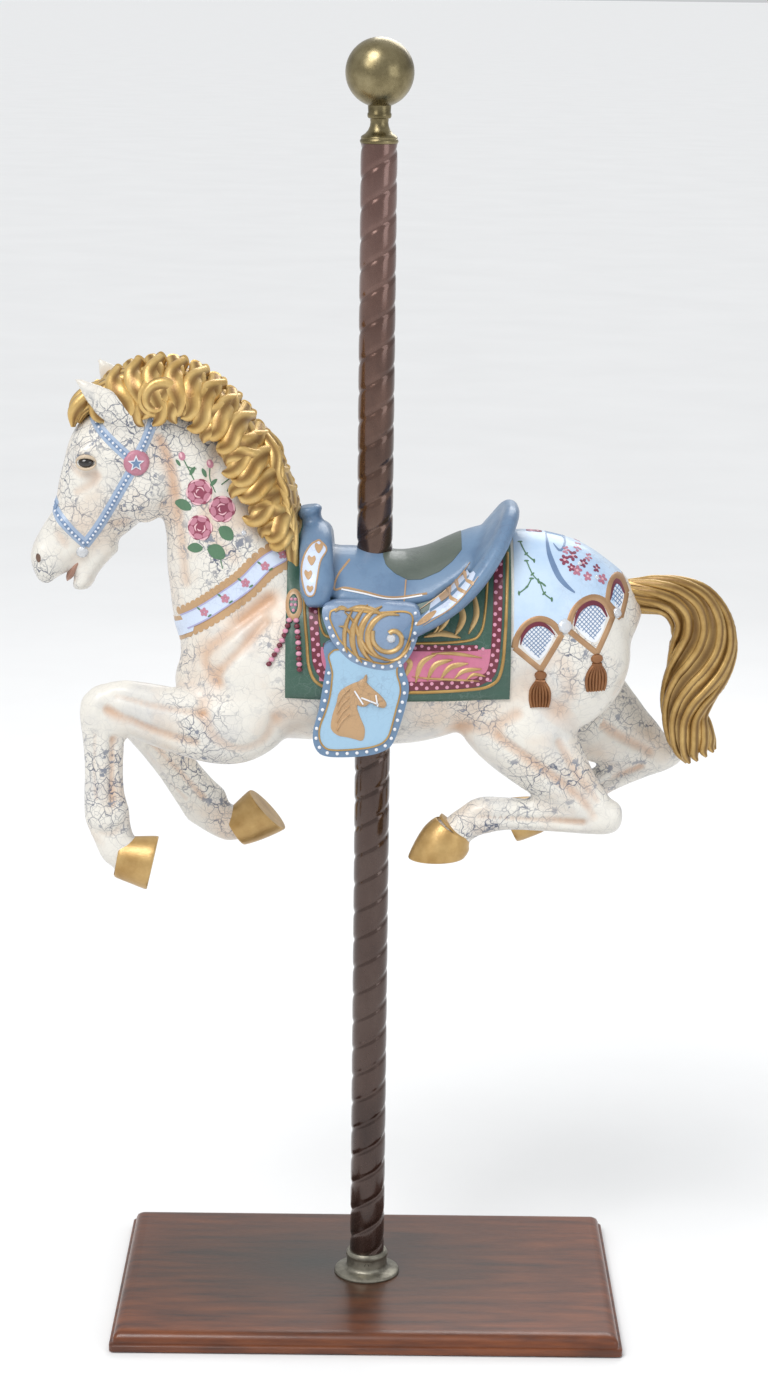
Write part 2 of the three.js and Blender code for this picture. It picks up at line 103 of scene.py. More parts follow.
def ranged(tree, value, low, high, to_low=0.0, to_high=1.0):
    """A value between low and high stretched to lie between to_low and to_high, and clamped."""
    feeds = {"Value": value, "From Min": low, "From Max": high, "To Min": to_low, "To Max": to_high}
    return node(tree, "MapRange", feeds).outputs["Result"]


def lay_over(tree, share, colour, how="MIX"):
    """Lays a colour over the finish so far, as strongly as `share` says."""
    base = tree.nodes["Principled BSDF"].inputs["Base Color"]
    feeds = {"Factor": share, "A": base.links[0].from_socket, "B": colour}
    wire(tree, node(tree, "Mix", feeds, data_type="RGBA", blend_type=how).outputs["Result"], base)


def coat_of(
    name, colours, scale=30.0, rough=0.5, metal=0.0, stretch=(1, 1, 1), bump=0.15, grit=400.0, gloss=0.0,
):
    """A finish whose colour wanders through `colours`, from low to high, with patches 1/scale metres wide."""
    material = bpy.data.materials.new(name)
    material.use_nodes = True
    tree = material.node_tree
    shader = tree.nodes["Principled BSDF"]
    shader.inputs["Metallic"].default_value = metal
    shader.inputs["Coat Weight"].default_value = gloss
    shader.inputs["Coat Roughness"].default_value = 0.12
    place = node(tree, "TexCoord").outputs["Object"]
    turn = node(tree, "Mapping", {"Vector": place, "Scale": stretch}).outputs["Vector"]
    ramp = node(tree, "ValToRGB", {"Fac": noise(tree, turn, scale, 6, 0.6)})
    ramp.color_ramp.elements[0].position = 0.3
    ramp.color_ramp.elements[1].position = 0.7
    ramp.color_ramp.elements[0].color = linear(*colours[0])
    ramp.color_ramp.elements[1].color = linear(*colours[-1])
    for i, colour in enumerate(colours[1:-1], 1):
        ramp.color_ramp.elements.new(0.3 + 0.4 * i / (len(colours) - 1)).color = linear(*colour)
    wire(tree, ramp.outputs["Color"], shader.inputs["Base Color"])
    grain = noise(tree, turn, grit, 4)
    wire(
        tree, ranged(tree, grain, 0, 1, max(0.03, rough - 0.14), rough + 0.14),
        shader.inputs["Roughness"],
    )
    relief = node(tree, "Bump", {"Height": grain, "Strength": bump, "Distance": 0.001})
    wire(tree, relief.outputs["Normal"], shader.inputs["Normal"])
    return material


def thing(name, mesh, material, weld=0.0):
    """An object of this mesh, its faces turned outwards and any points within `weld` joined."""
    shaped = bmesh.new()
    shaped.from_mesh(mesh)
    if weld:
        bmesh.ops.remove_doubles(shaped, verts=shaped.verts, dist=weld)
    bmesh.ops.recalc_face_normals(shaped, faces=shaped.faces)
    shaped.to_mesh(mesh)
    shaped.free()
    made = bpy.data.objects.new(name, mesh)
    bpy.context.scene.collection.objects.link(made)
    made.data.materials.append(material)
    return made


def piece(name, points, faces, material, slot, *stands_for, angle=40):
    """A finished piece from points in millimetres, with its faces turned outwards."""
    mesh = bpy.data.meshes.new(name)
    mesh.from_pydata((np.asarray(points) * MM).tolist(), [], [tuple(int(i) for i in f) for f in faces])
    return finished(thing(name, mesh, material, weld=1e-6), slot, *stands_for, angle=angle)


def finished(made, slot, *stands_for, angle=40):
    """Smooths a piece's shading, hangs it on the body called root and hides the solids it stands for.
    `slot` is not used.
    """
    bpy.ops.object.select_all(action="DESELECT")
    made.select_set(True)
    bpy.context.view_layer.objects.active = made
    bpy.ops.object.shade_smooth_by_angle(angle=math.radians(angle))
    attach(made, "root")
    if stands_for:
        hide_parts(*stands_for)
    return made


def skin_faces(rings, sides):
    """Quads between rings of points, each ring closed on itself, with a cap on each end."""
    a = np.arange(rings - 1)[:, None] * sides + np.arange(sides)[None, :]
    b = np.arange(rings - 1)[:, None] * sides + (np.arange(sides)[None, :] + 1) % sides
    quads = np.stack([a, b, b + sides, a + sides], -1).reshape(-1, 4).tolist()
    return quads + [list(range(sides))[::-1], list(range((rings - 1) * sides, rings * sides))]


board_high = np.array(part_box("base_board")[1]) / MM
BOARD_EDGE = [
    (0, 0), (0, 7), (-1.2, 8.2), (-3.2, 8.8), (-3.6, 10.5), (-4.0, 13.5), (-5.6, 16.6), (-8.4, 19.0),
    (-12.5, 20.6), (-17, 21),
]
BOARD_CORNER = 5
corner = np.linspace(0, math.pi / 2, 6)
loops = []
for inset, z in [(-1.5, 0)] + [(i, max(z, 0.8)) for i, z in BOARD_EDGE]:
    half = board_high[:2] + inset - BOARD_CORNER
    loop = []
    for quarter, (sx, sy) in enumerate([(1, 1), (-1, 1), (-1, -1), (1, -1)]):
        for a in corner + quarter * math.pi / 2:
            loop.append((
                sx * half[0] + BOARD_CORNER * math.cos(a), sy * half[1] + BOARD_CORNER * math.sin(a), z,
            ))
    loops += loop
mahogany = coat_of(
    "mahogany", [(62, 28, 12), (100, 50, 22), (124, 66, 30)], 9, 0.36, stretch=(1.2, 9, 9), bump=0.08,
    grit=90, gloss=0.2,
)
tree = mahogany.node_tree
place = node(tree, "TexCoord").outputs["Object"]
# Dark patch painted into the lacquer: darkest a little left of and behind the pole, fading out towards the
# edges.
where = node(tree, "Mapping", {"Vector": place, "Location": (0.16, -0.10, 0), "Scale": (3.0, 4.6, 1)})
dark_patch = node(tree, "TexGradient", {"Vector": where.outputs["Vector"]}, gradient_type="SPHERICAL")
lay_over(tree, dark_patch.outputs["Fac"], linear(34, 32, 24))
piece(
    "board", loops, skin_faces(len(BOARD_EDGE) + 1, 4 * len(corner)), mahogany, "wood", "base_board",
    angle=30,
)

# ---- Floor flange and its set screw ---------------------------------------------------------------
# A cast ring with a collar, dull brass-plated, screwed to the board. One set screw in the collar's
# front grips the tube.


def turned(name, profile, material, slot, *stands_for, angle=40):
    """A piece turned on the tube's axis from [radius, height] points."""
    sides = 64
    around = np.linspace(0, 2 * math.pi, sides, endpoint=False)
    r, z = np.array(profile, float).T
    ring = np.stack([np.cos(around), np.sin(around)], -1)
    points = np.concatenate(
        [r[:, None, None] * ring[None], np.broadcast_to(z[:, None, None], (len(r), sides, 1))], -1
    )
    return piece(
        name, points.reshape(-1, 3), skin_faces(len(r), sides), material, slot, *stands_for, angle=angle
    )


flange_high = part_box("floor_flange")[1][2] / MM
pewter = coat_of(
    "dull_plate", [(96, 92, 82), (132, 128, 116), (154, 150, 136)], 60, 0.42, metal=0.85, bump=0.2,
    grit=300,
)
FLANGE_FOOT = [
    (20, 21.2), (36, 21.2), (36.2, 22.6), (35.4, 24.4), (33.6, 25.4), (27, 26.2), (24.6, 27),
    (23, 28.6), (22.4, 31),
]
COLLAR_BELOW_TOP = [(22.2, 7), (23, 6.4), (23.4, 4.6), (23, 2.8), (22.2, 1.4), (21, 0), (19.2, 0)]
FLANGE = FLANGE_FOOT + [(r, flange_high - below) for r, below in COLLAR_BELOW_TOP]
turned("flange", FLANGE, pewter, "pewter", "floor_flange", angle=32)
screw_steel = coat_of("screw_steel", [(60, 58, 54), (104, 100, 92)], 300, 0.4, metal=0.9)
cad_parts["set_screw"].data.materials.clear()
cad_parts["set_screw"].data.materials.append(screw_steel)

# ---- Rope-twisted tube -----------------------------------------------------------------------------
# Steel tube with two grooves rolled around it like a rope, finished in glossy dark bronze lacquer,
# tinted darker towards the bottom and lighter towards the top.
POLE = {"radius": 19.3, "lead": 63, "starts": 2, "groove": 1.3, "half_width": 2.5}
pole_low, pole_high = (c[2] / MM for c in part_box("pole"))
heights = np.linspace(pole_low, pole_high, 620)
around = np.linspace(0, 2 * math.pi, 72, endpoint=False)
phase = POLE["starts"] * (around[None, :] - 2 * math.pi * heights[:, None] / POLE["lead"])
off_groove = np.abs((phase + math.pi) % (2 * math.pi) - math.pi) / POLE["starts"] * POLE["radius"] * 0.45
dip = np.exp(-((off_groove / POLE["half_width"]) ** 2)) * POLE["groove"]
swell = 0.12 * np.cos(phase)
radius = POLE["radius"] - dip - 0.35 - swell * 0.9
points = np.stack(
    [radius * np.cos(around), radius * np.sin(around), np.broadcast_to(heights[:, None], radius.shape)],
    -1,
)
bronze = coat_of(
    "bronze_lacquer", [(84, 62, 56), (112, 86, 78), (130, 106, 98)], 14, 0.24, metal=0.75,
    stretch=(1, 1, 0.5), bump=0.05, gloss=0.6,
)
tree = bronze.node_tree
height = node(tree, "SeparateXYZ", {"Vector": node(tree, "TexCoord").outputs["Object"]}).outputs["Z"]
# The lacquer is tinted darker below 0.7 m and lighter from there up to 1.2 m.
tint = node(tree, "ValToRGB", {"Fac": ranged(tree, height, 0.70, 1.20)})
tint.color_ramp.elements[0].color = (0.42, 0.42, 0.40, 1)
tint.color_ramp.elements[1].color = (0.92, 0.84, 0.84, 1)
tint.color_ramp.elements.new(0.45).color = (0.78, 0.72, 0.60, 1)
lay_over(tree, 1.0, tint.outputs["Color"], "MULTIPLY")
piece(
    "twisted_tube", points.reshape(-1, 3), skin_faces(*radius.shape), bronze, "bronze", "pole", angle=60
)

# ---- Brass ball finial -----------------------------------------------------------------------------
# Cap, waisted neck with two thin rings, and a spun ball, all antique brass. It caps the tube's upper
# end, where it is pressed on.
ball_low, ball_high = (np.array(c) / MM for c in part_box("ball_finial"))
BALL = {"radius": 35.3, "centre": ball_high[2] - 35.4}
start = math.asin(12 / BALL["radius"])
NECK_RISE = [
    (0, 0), (19, 0), (19.8, 1.4), (19.8, 2.8), (19, 4), (18.6, 4.6), (19, 5.8), (18, 7.4), (14.6, 9.6),
    (11.6, 13), (9.8, 17), (9.2, 21), (9.6, 24.6), (11.6, 25.4), (12.4, 27), (12.4, 29.6), (11.6, 31),
]
FINIAL = [(r, ball_low[2] + rise) for r, rise in NECK_RISE]
for a in np.linspace(start, math.pi - 0.02, 40):
    FINIAL.append((BALL["radius"] * math.sin(a), BALL["centre"] - BALL["radius"] * math.cos(a)))
brass = coat_of(
    "antique_brass", [(98, 88, 62), (142, 130, 98), (168, 156, 122)], 26, 0.3, metal=0.95, bump=0.04
)
turned("finial", FINIAL, brass, "brass", "ball_finial", angle=35)

# ---- The cast body ---------------------------------------------------------------------------------
# One hollow resin casting: barrel, neck, head, ears and legs, brushed cream-white and crackle-glazed,
# with tan painted shade laid in its hollows. Each limb is shaped along stations of x, y, z, half depth
# and half width.


def between(rows, t):
    """Catmull-Rom through the rows, at t rows from the first."""
    i = np.clip(np.floor(t).astype(int), 0, len(rows) - 2)
    f = (t - i)[:, None]
    last = len(rows) - 1
    a, b, c, d = (rows[np.clip(i + k, 0, last)] for k in (-1, 0, 1, 2))
    return 0.5 * (2 * b + (c - a) * f + (2 * a - 5 * b + 4 * c - d) * f**2 + (3 * b - a - 3 * c + d) * f**3)


def loft(stations, sides=48, per_span=8, across=(0, 1, 0), shape=None):
    """Points of a body along its stations. `shape(t, angle)` scales each ring's radius."""
    rows = np.array([list(s) + [0.0] * (7 - len(s)) for s in stations], float)
    t = np.linspace(0, len(rows) - 1, (len(rows) - 1) * per_span + 1)
    values = between(rows, t)
    centre, depth, width, egg, lean = (
        values[:, :3], values[:, 3], values[:, 4], values[:, 5], values[:, 6],
    )
    along = np.gradient(centre, axis=0)
    along /= np.linalg.norm(along, axis=1)[:, None]
    side = np.array(across, float) - along * (along @ np.array(across, float))[:, None]
    side /= np.linalg.norm(side, axis=1)[:, None]
    up = np.cross(along, side)
    c, s = np.cos(np.radians(lean))[:, None], np.sin(np.radians(lean))[:, None]
    up = up * c + np.cross(side, up) * s
    angle = np.linspace(0, 2 * math.pi, sides, endpoint=False)[None, :]
    size = np.ones((len(t), sides)) if shape is None else shape(t[:, None], angle)
    rise = np.cos(angle) * size
    spread = np.sin(angle) * (1 - egg[:, None] * np.cos(angle)) * size
    points = centre[:, None] + up[:, None] * (depth[:, None] * rise)[..., None]
    points += side[:, None] * (width[:, None] * spread)[..., None]
    return points.reshape(-1, 3), skin_faces(len(t), sides)


def egg_at(centre, radii, sides=40):
    """A rounded lump of muscle or bone."""
    polar = np.linspace(0.02, math.pi - 0.02, sides // 2)
    around = np.linspace(0, 2 * math.pi, sides, endpoint=False)
    ring = np.stack(
        [np.sin(polar)[:, None] * np.cos(around), np.sin(polar)[:, None] * np.sin(around)], -1
    )
    tall = np.broadcast_to(np.cos(polar)[:, None, None], ring.shape[:2] + (1,))
    points = np.concatenate([ring, tall], -1).reshape(-1, 3) * np.array(radii) + np.array(centre)
    return points, skin_faces(len(polar), sides)


def gathered(parts):
    """Several lots of points and faces as one."""
    points, faces, count = [], [], 0
    for p, f in parts:
        points.append(p)
        faces += [[i + count for i in face] for face in f]
        count += len(p)
    return np.concatenate(points), faces


def put(name, parts, material, slot="paint", angle=40, *stands_for):
    """Joins parts into one named piece on the horse."""
    points, faces = gathered(parts)
    return piece(name, points, faces, material, slot, *stands_for, angle=angle)


TORSO = [
    (-202, 0, 714, 14, 16), (-191, 0, 717, 44, 44), (-167, 0, 723, 73, 64, 0.05),
    (-130, 0, 730, 91, 77, 0.1), (-85, 0, 735, 97, 86, 0.12), (-30, 0, 737, 100, 92, 0.14),
    (30, 0, 734, 99, 94, 0.14), (85, 0, 747, 95, 91, 0.12), (140, 0, 765, 99, 87, 0.08),
    (190, 0, 766, 94, 83, 0.05), (229, 0, 760, 76, 71), (252, 0, 752, 56, 55), (266, 0, 744, 34, 33),
    (271, 0, 742, 12, 12),
]
NECK = [
    (-92, 0, 735, 89, 66), (-124, 0, 788, 92, 60), (-146, 0, 835, 77, 52), (-163, 0, 880, 62, 44),
    (-186, 0, 925, 52, 37), (-212, 0, 962, 43, 32), (-243, 0, 984, 33, 28), (-262, 0, 988, 20, 20),
]
HEAD = [
    (-226, 0, 968, 26, 22), (-244, 0, 957, 48, 34), (-263, 0, 936, 61, 40), (-284, 0, 903, 52, 36),
    (-306, 0, 869, 38, 28), (-328, 0, 848, 28, 24), (-341, 0, 828, 24, 24), (-345, 0, 812, 14, 19),
    (-343, 0, 804, 5, 9),
]
JAW = [
    (-284, 0, 852, 20, 22), (-295, 0, 834, 15, 19), (-303, 0, 819, 12, 17), (-308, 0, 807, 11, 16),
    (-313, 0, 800, 8, 13), (-314, 0, 796, 3, 7),
]
EARS = [
    [
        (-246, -25, 970, 11, 9), (-260, -30, 984, 17, 11), (-278, -33, 998, 16, 9),
        (-297, -33, 1013, 9, 6), (-312, -31, 1025, 1.5, 2),
    ],
    [
        (-246, 24, 976, 12, 9), (-257, 29, 994, 19, 11), (-271, 31, 1010, 17, 9),
        (-284, 31, 1025, 10, 6), (-293, 30, 1038, 1.5, 2),
    ],
]
LEFT_FORE = [
    [
        (-106, -42, 706, 45, 34), (-127, -48, 680, 47, 36), (-147, -53, 667, 46, 34),
        (-172, -56, 664, 41, 30), (-207, -58, 669, 35, 26), (-240, -59, 678, 31, 23),
        (-266, -59, 684, 28, 21), (-283, -59, 688, 21, 18),
    ],
    [
        (-287, -59, 705, 8, 9), (-285, -59, 696, 19, 18), (-284, -59, 678, 24, 21),
        (-283, -59, 650, 22.5, 18), (-283, -59, 620, 20.5, 15.5), (-283, -58, 588, 21.5, 16),
        (-280, -58, 564, 24, 19), (-275, -57, 544, 21, 16.5), (-268, -57, 527, 20.5, 17),
        (-258, -57, 516, 17, 15),
    ],
    [(-268, -57, 518, 20, 18), (-252, -57, 515, 23.5, 21), (-234, -57, 512, 27, 24, 0, 3)],
]
RIGHT_FORE = [
    [
        (-100, 42, 700, 50, 34), (-122, 48, 674, 50, 36), (-150, 53, 658, 41, 32),
        (-185, 55, 650, 33, 27), (-220, 56, 645, 28, 23), (-248, 56, 643, 25, 21),
        (-262, 56, 644, 18, 17),
    ],
    [
        (-270, 56, 660, 8, 9), (-263, 56, 653, 18, 18), (-252, 56, 639, 24, 20),
        (-235, 56, 616, 22.5, 17), (-213, 55, 586, 22, 15.5), (-194, 55, 560, 24, 16),
        (-181, 55, 544, 26, 19), (-170, 54, 531, 19.5, 16.5), (-155, 54, 524, 19, 17),
        (-144, 54, 521, 16, 15),
    ],
    [(-149, 54, 519, 18.5, 18), (-134, 54, 528.5, 23, 21), (-116, 54, 540, 26.5, 24, 0, -10)],
]
LEFT_HIND = [
    [
        (121, -40, 707, 50, 36), (141, -46, 679, 53, 39), (165, -50, 651, 49, 38),
        (190, -52, 622, 39, 31), (217, -53, 592, 27.5, 24), (238, -53, 574, 21, 20),
        (250, -53, 566, 14, 14),
    ],
    [
        (266, -53, 568, 6, 7), (261, -53, 568, 15, 14), (248, -53, 567.5, 19.5, 18),
        (222, -53, 567, 18.5, 16), (182, -52, 568, 17.5, 14.5), (146, -52, 569, 17.5, 15),
        (119, -52, 567, 20, 18), (103, -52, 559, 18, 16), (91, -52, 550, 18, 16.5),
        (83, -52, 542, 16, 15),
    ],
    [(86.5, -52, 551, 20, 18), (79, -52, 540, 25, 22, 0, -8), (70, -52, 522, 28, 25, 0, -26)],
]
RIGHT_HIND = [
    [
        (186, 38, 714, 52, 38), (210, 43, 684, 53, 40), (240, 47, 654, 51, 36), (270, 50, 634, 41, 29),
        (298, 52, 621, 27, 22), (318, 52, 612, 14, 15),
    ],
    [
        (336, 52, 614, 6, 7), (331, 52, 612, 13, 14), (316, 52, 608, 17, 18), (290, 52, 598, 17, 16),
        (256, 52, 582, 17, 14.5), (224, 51, 562, 17.5, 15), (206, 51, 549, 19.5, 18),
        (192, 50, 542, 17.5, 16), (180, 50, 539, 16, 15),
    ],
    [(184, 50, 540, 17.5, 17), (170, 50, 537, 20.5, 20), (152, 50, 533, 22.5, 22, 0, -10)],
]
LEGS = [LEFT_FORE, RIGHT_FORE, LEFT_HIND, RIGHT_HIND]
MUSCLES = [
    ((200, 36, 742), (71, 50, 84)), ((-132, 34, 716), (62, 46, 82)), ((-245, 20, 909), (35, 22, 38)),
    ((-299, 25, 946), (17, 12, 12)), ((-176, 24, 704), (34, 30, 44)), ((-318, 19, 868), (26, 11, 10)),
    ((-349, 15, 836), (9, 9, 13)),
]


def read(mesh, what):
    """The places or the normals of a mesh's points, as rows of x, y, z."""
    values = np.empty(len(mesh.vertices) * 3)
    mesh.vertices.foreach_get(what, values)
    return values.reshape(-1, 3)


def neighbours(mesh):
    """Pairs of joined points, both ways, and how many neighbours each point has."""
    pairs = np.empty(len(mesh.edges) * 2, int)
    mesh.edges.foreach_get("vertices", pairs)
    pairs = pairs.reshape(-1, 2)
    both_ways = np.concatenate([pairs, pairs[:, ::-1]])
    return both_ways, np.bincount(both_ways[:, 0], minlength=len(mesh.vertices)).astype(float)


def averaged(values, both_ways, count):
    """Each point's mean over its neighbours."""
    values = values.reshape(len(count), -1)
    sums = [
        np.bincount(both_ways[:, 0], weights=values[both_ways[:, 1], k], minlength=len(count))
        for k in range(values.shape[1])
    ]
    return np.stack(sums, -1) / np.maximum(count, 1)[:, None]


def clay(name, parts, voxel, soften=4, blend=0, material=None):
    """Parts pressed into one skin. Creases are worked over `blend` times, all of it `soften` times."""
    points, faces = gathered(parts)
    mesh = bpy.data.meshes.new(name)
    mesh.from_pydata((points * MM).tolist(), [], faces)
    made = bpy.data.objects.new(name, mesh)
    bpy.context.scene.collection.objects.link(made)
    bpy.ops.object.select_all(action="DESELECT")
    made.select_set(True)
    bpy.context.view_layer.objects.active = made
    remesh = made.modifiers.new("skin", "REMESH")
    remesh.mode = "VOXEL"
    remesh.voxel_size = voxel * MM
    bpy.ops.object.modifier_apply(modifier="skin")
    mesh = made.data
    both_ways, count = neighbours(mesh)
    place, normal = read(mesh, "co"), read(mesh, "normal")
    for _ in range(soften):
        place = place + 0.6 * (averaged(place, both_ways, count) - place)
    if blend:
        hollow = ((averaged(place, both_ways, count) - place) * normal).sum(1) / (voxel * MM)
        mask = np.clip(hollow * 14, 0, 1)
        for _ in range(7):
            mask = np.maximum(mask, averaged(mask, both_ways, count)[:, 0] * 1.25).clip(0, 1)
        for _ in range(blend):
            place = place + 0.6 * mask[:, None] * (averaged(place, both_ways, count) - place)
    hollow = ((averaged(place, both_ways, count) - place) * normal).sum(1) / (voxel * MM)
    for _ in range(3):
        hollow = 0.5 * hollow + 0.5 * averaged(hollow, both_ways, count)[:, 0]
    mesh.vertices.foreach_set("co", place.ravel())
    mesh.update()
    # How hollow each point lies, kept on the skin: the paint lays painted shade in the hollows from it.
    tone = mesh.attributes.new("hollow", "FLOAT", "POINT")
    tone.data.foreach_set("value", np.clip(0.5 + hollow * 7, 0, 1))
    made.data.materials.append(material)
    return made


def crackle_paint(name, light, shade, shade_and_blush, crack_colour, cells=70.0, cracks=1.0, blush=0.15):
    """Brushed paint under a crackle glaze: painted shade in the hollows, fine dark cracks and a few chips."""
    material = coat_of(name, [shade, light, light], 14, 0.42, bump=0.12, grit=260, gloss=0.25)
    tree = material.node_tree
    place = node(tree, "TexCoord").outputs["Object"]
    bend = node(tree, "TexNoise", {"Vector": place, "Scale": 45, "Detail": 3}).outputs["Color"]
    moved = node(
        tree, "VectorMath", {0: bend, 1: (0.02, 0.02, 0.02), 2: place}, operation="MULTIPLY_ADD"
    )
    lines = []
    for scale, thin in ((cells, 0.04), (cells * 2.3, 0.055)):
        feeds = {"Vector": moved.outputs["Vector"], "Scale": scale}
        net = node(tree, "TexVoronoi", feeds, feature="DISTANCE_TO_EDGE").outputs["Distance"]
        lines.append(ranged(tree, net, 0.0, thin, 1.0, 0.0))
    some = ranged(tree, noise(tree, place, 11, 3), 0.44, 0.6, 0.1 * cracks, 1.0 * cracks)
    faint = node(tree, "Math", {0: lines[1], 1: 0.55}, operation="MULTIPLY").outputs[0]
    most = node(tree, "Math", {0: lines[0], 1: faint}, operation="MAXIMUM").outputs[0]
    crack = node(tree, "Math", {0: most, 1: some}, operation="MULTIPLY").outputs[0]
    # A warm blush in random patches, half way between the light colour and the painted shade's colour.
    warmth = ranged(tree, noise(tree, place, 17, 3), 0.5, 0.72, 0.0, blush)
    lay_over(tree, warmth, linear(*[0.5 * a + 0.5 * b for a, b in zip(shade_and_blush, light)]))
    # Painted shade: the hollows and creases that the `hollow` attribute marks are tinted darker.
    hollow = node(tree, "Attribute", attribute_name="hollow").outputs["Fac"]
    lay_over(tree, ranged(tree, hollow, 0.52, 0.95, 0.0, 0.85), linear(*shade_and_blush))
    lay_over(tree, crack, linear(*crack_colour))
    gone = ranged(tree, noise(tree, place, 75, 5, 0.62), 0.6, 0.635)
    chip = node(tree, "Math", {0: gone, 1: some}, operation="MULTIPLY").outputs[0]
    lay_over(tree, chip, linear(*[0.6 * a + 0.4 * b for a, b in zip(crack_colour, shade)]))
    skin_normal = tree.nodes["Principled BSDF"].inputs["Normal"]
    feeds = {
        "Height": crack, "Normal": skin_normal.links[0].from_socket, "Strength": 0.35,
        "Distance": 0.0006,
    }
    wire(tree, node(tree, "Bump", feeds, invert=True).outputs["Normal"], skin_normal)
    return material


# The tan given fourth is painted shade for the hollows, and half of it warms the random blush.
cream = crackle_paint(
    "cream_crackle", (227, 223, 214), (205, 203, 200), (200, 152, 112), (82, 90, 110), blush=0.55,
    cracks=1.15,
)
parts = [loft(TORSO, 72, 6), loft(NECK, 64, 8), loft(HEAD, 64, 8), loft(JAW, 40, 8)]
parts += [loft(ear, 32, 8) for ear in EARS]
for upper, lower, hoof in LEGS:
    parts += [loft(upper, 44, 7), loft(lower, 36, 7), loft(hoof[:2], 36, 7)]
for centre, radii in MUSCLES:
    parts += [egg_at((centre[0], s * centre[1], centre[2]), radii) for s in (-1, 1)]
body = clay("horse_body", parts, 3.0, soften=3, blend=46, material=cream)


def modelled(made, strokes):
    """Presses grooves in: a side (-1 near, 1 far, 0 both), a depth, a half width, then x, z points."""
    mesh = made.data
    place, normal = read(mesh, "co"), read(mesh, "normal")
    tone = np.empty(len(mesh.vertices))
    mesh.attributes["hollow"].data.foreach_get("value", tone)
    sunk = np.zeros(len(place))
    for side, depth, half_width, *line in strokes:
        rows = np.array(line, float)
        fine = between(rows, np.linspace(0, len(rows) - 1, 10 * (len(rows) - 1) + 1))
        spot = place[:, [0, 2]] / MM
        reach = 3 * half_width
        close = (spot > fine.min(0) - reach).all(1) & (spot < fine.max(0) + reach).all(1)
        if side:
            close &= place[:, 1] * side > 0.012
        close = np.flatnonzero(close)
        gap = np.min(np.linalg.norm(spot[close][:, None] - fine[None], axis=2), axis=1)
        sunk[close] += depth * np.exp(-((gap / half_width) ** 2)) * np.abs(normal[close, 1]) ** 0.7
    place = place - normal * (sunk * MM)[:, None]
    mesh.vertices.foreach_set("co", place.ravel())
    # Pressed grooves count as more hollow, so the paint lays more painted shade in them.
    mesh.attributes["hollow"].data.foreach_set("value", np.clip(tone + sunk * 0.1, 0, 1))
    mesh.update()


GROOVES = [
    (0, 3.2, 6, (-224, 962), (-214, 936), (-209, 905)),
    (0, 3.0, 7, (-207, 893), (-203, 853), (-199, 812)),
    (0, 2.2, 10, (-165, 950), (-176, 902), (-168, 862), (-146, 842)),
    (0, 4.6, 8, (-109, 800), (-146, 771), (-173, 749), (-177, 731), (-163, 715)),
    (0, 3.8, 6, (-113, 778), (-140, 748), (-160, 727)),
    (0, 3.0, 8, (-178, 690), (-167, 660), (-140, 643), (-113, 652), (-101, 676)),
    (0, 2.7, 6, (-312, 905), (-300, 912), (-288, 922)),
    (0, 2.0, 5, (-320, 934), (-307, 924), (-292, 927)),
    (0, 1.9, 6, (-334, 864), (-324, 846)),
    (0, 2.4, 7, (-272, 868), (-244, 880), (-222, 893)),
    (-1, 4.1, 6, (-278, 684), (-232, 664), (-186, 650)),
    (-1, 3.0, 5, (-267, 699), (-221, 688), (-178, 682)),
    (-1, 4.3, 4.5, (-272, 650), (-273, 616), (-273, 580)),
    (-1, 2.7, 4, (-291, 656), (-293, 618), (-291, 586)),
    (-1, 2.4, 5, (-298, 552), (-277, 548), (-259, 560)),
    (1, 4.1, 5, (-238, 616), (-210, 586), (-184, 558)),
    (1, 2.7, 4.5, (-246, 604), (-226, 576), (-204, 556)),
    (1, 3.5, 6, (-246, 640), (-204, 655), (-160, 668)),
    (0, 3.5, 9, (150, 686), (118, 668), (92, 664)),
    (-1, 4.3, 7, (131, 660), (176, 628), (216, 596), (234, 574)),
    (-1, 3.5, 6, (196, 655), (216, 620), (240, 590)),
    (-1, 3.8, 4.5, (112, 570), (168, 566), (222, 564)),
    (1, 4.1, 7, (222, 672), (262, 640), (300, 618)),
    (1, 3.5, 4.5, (212, 556), (250, 578), (292, 598)),
    (0, 3.2, 9, (264, 712), (252, 686), (236, 664)),
    (0, 2.4, 14, (196, 742), (206, 712), (196, 690)),
]
modelled(body, GROOVES)
finished(body, "paint", "horse", angle=60)

# ---- Hooves, mane and tail -------------------------------------------------------------------------
# Cast with the body and painted gold: hooves with a cut sole, a mane of thick waved locks that falls to
# both sides of the neck, and a rope-like tail. The gold is painted darker in the grooves between locks.


def lock(stations, grooves, sides=26, per_span=7, depth=0.10, roll=0.0):
    """A lock of hair, a loft with rounded ridges: its points, its faces and how deep each point lies."""
    def ridged(t, angle):
        return 1 - depth * (0.5 - 0.5 * np.cos(grooves * (angle + roll * t))) ** 0.7
    points, faces = loft(stations, sides, per_span, shape=ridged)
    rings = len(points) // sides
    t = np.linspace(0, len(stations) - 1, rings)[:, None]
    angle = np.linspace(0, 2 * math.pi, sides, endpoint=False)[None, :]
    deep = (0.5 - 0.5 * np.cos(grooves * (angle + roll * t))).ravel()
    return points, faces, deep


def gilt(name, dark, mid, light, rough=0.36):
    """Gold paint, bright on the ridges and dark in the grooves, from the piece's own `deep` values."""
    material = coat_of(name, [mid, light], 40, rough, metal=0.55, bump=0.2, grit=500, gloss=0.15)
    groove = node(material.node_tree, "Attribute", attribute_name="deep").outputs["Fac"]
    lay_over(
        material.node_tree, ranged(material.node_tree, groove, 0.35, 1.0, 0.0, 0.85), linear(*dark)
    )
    return material


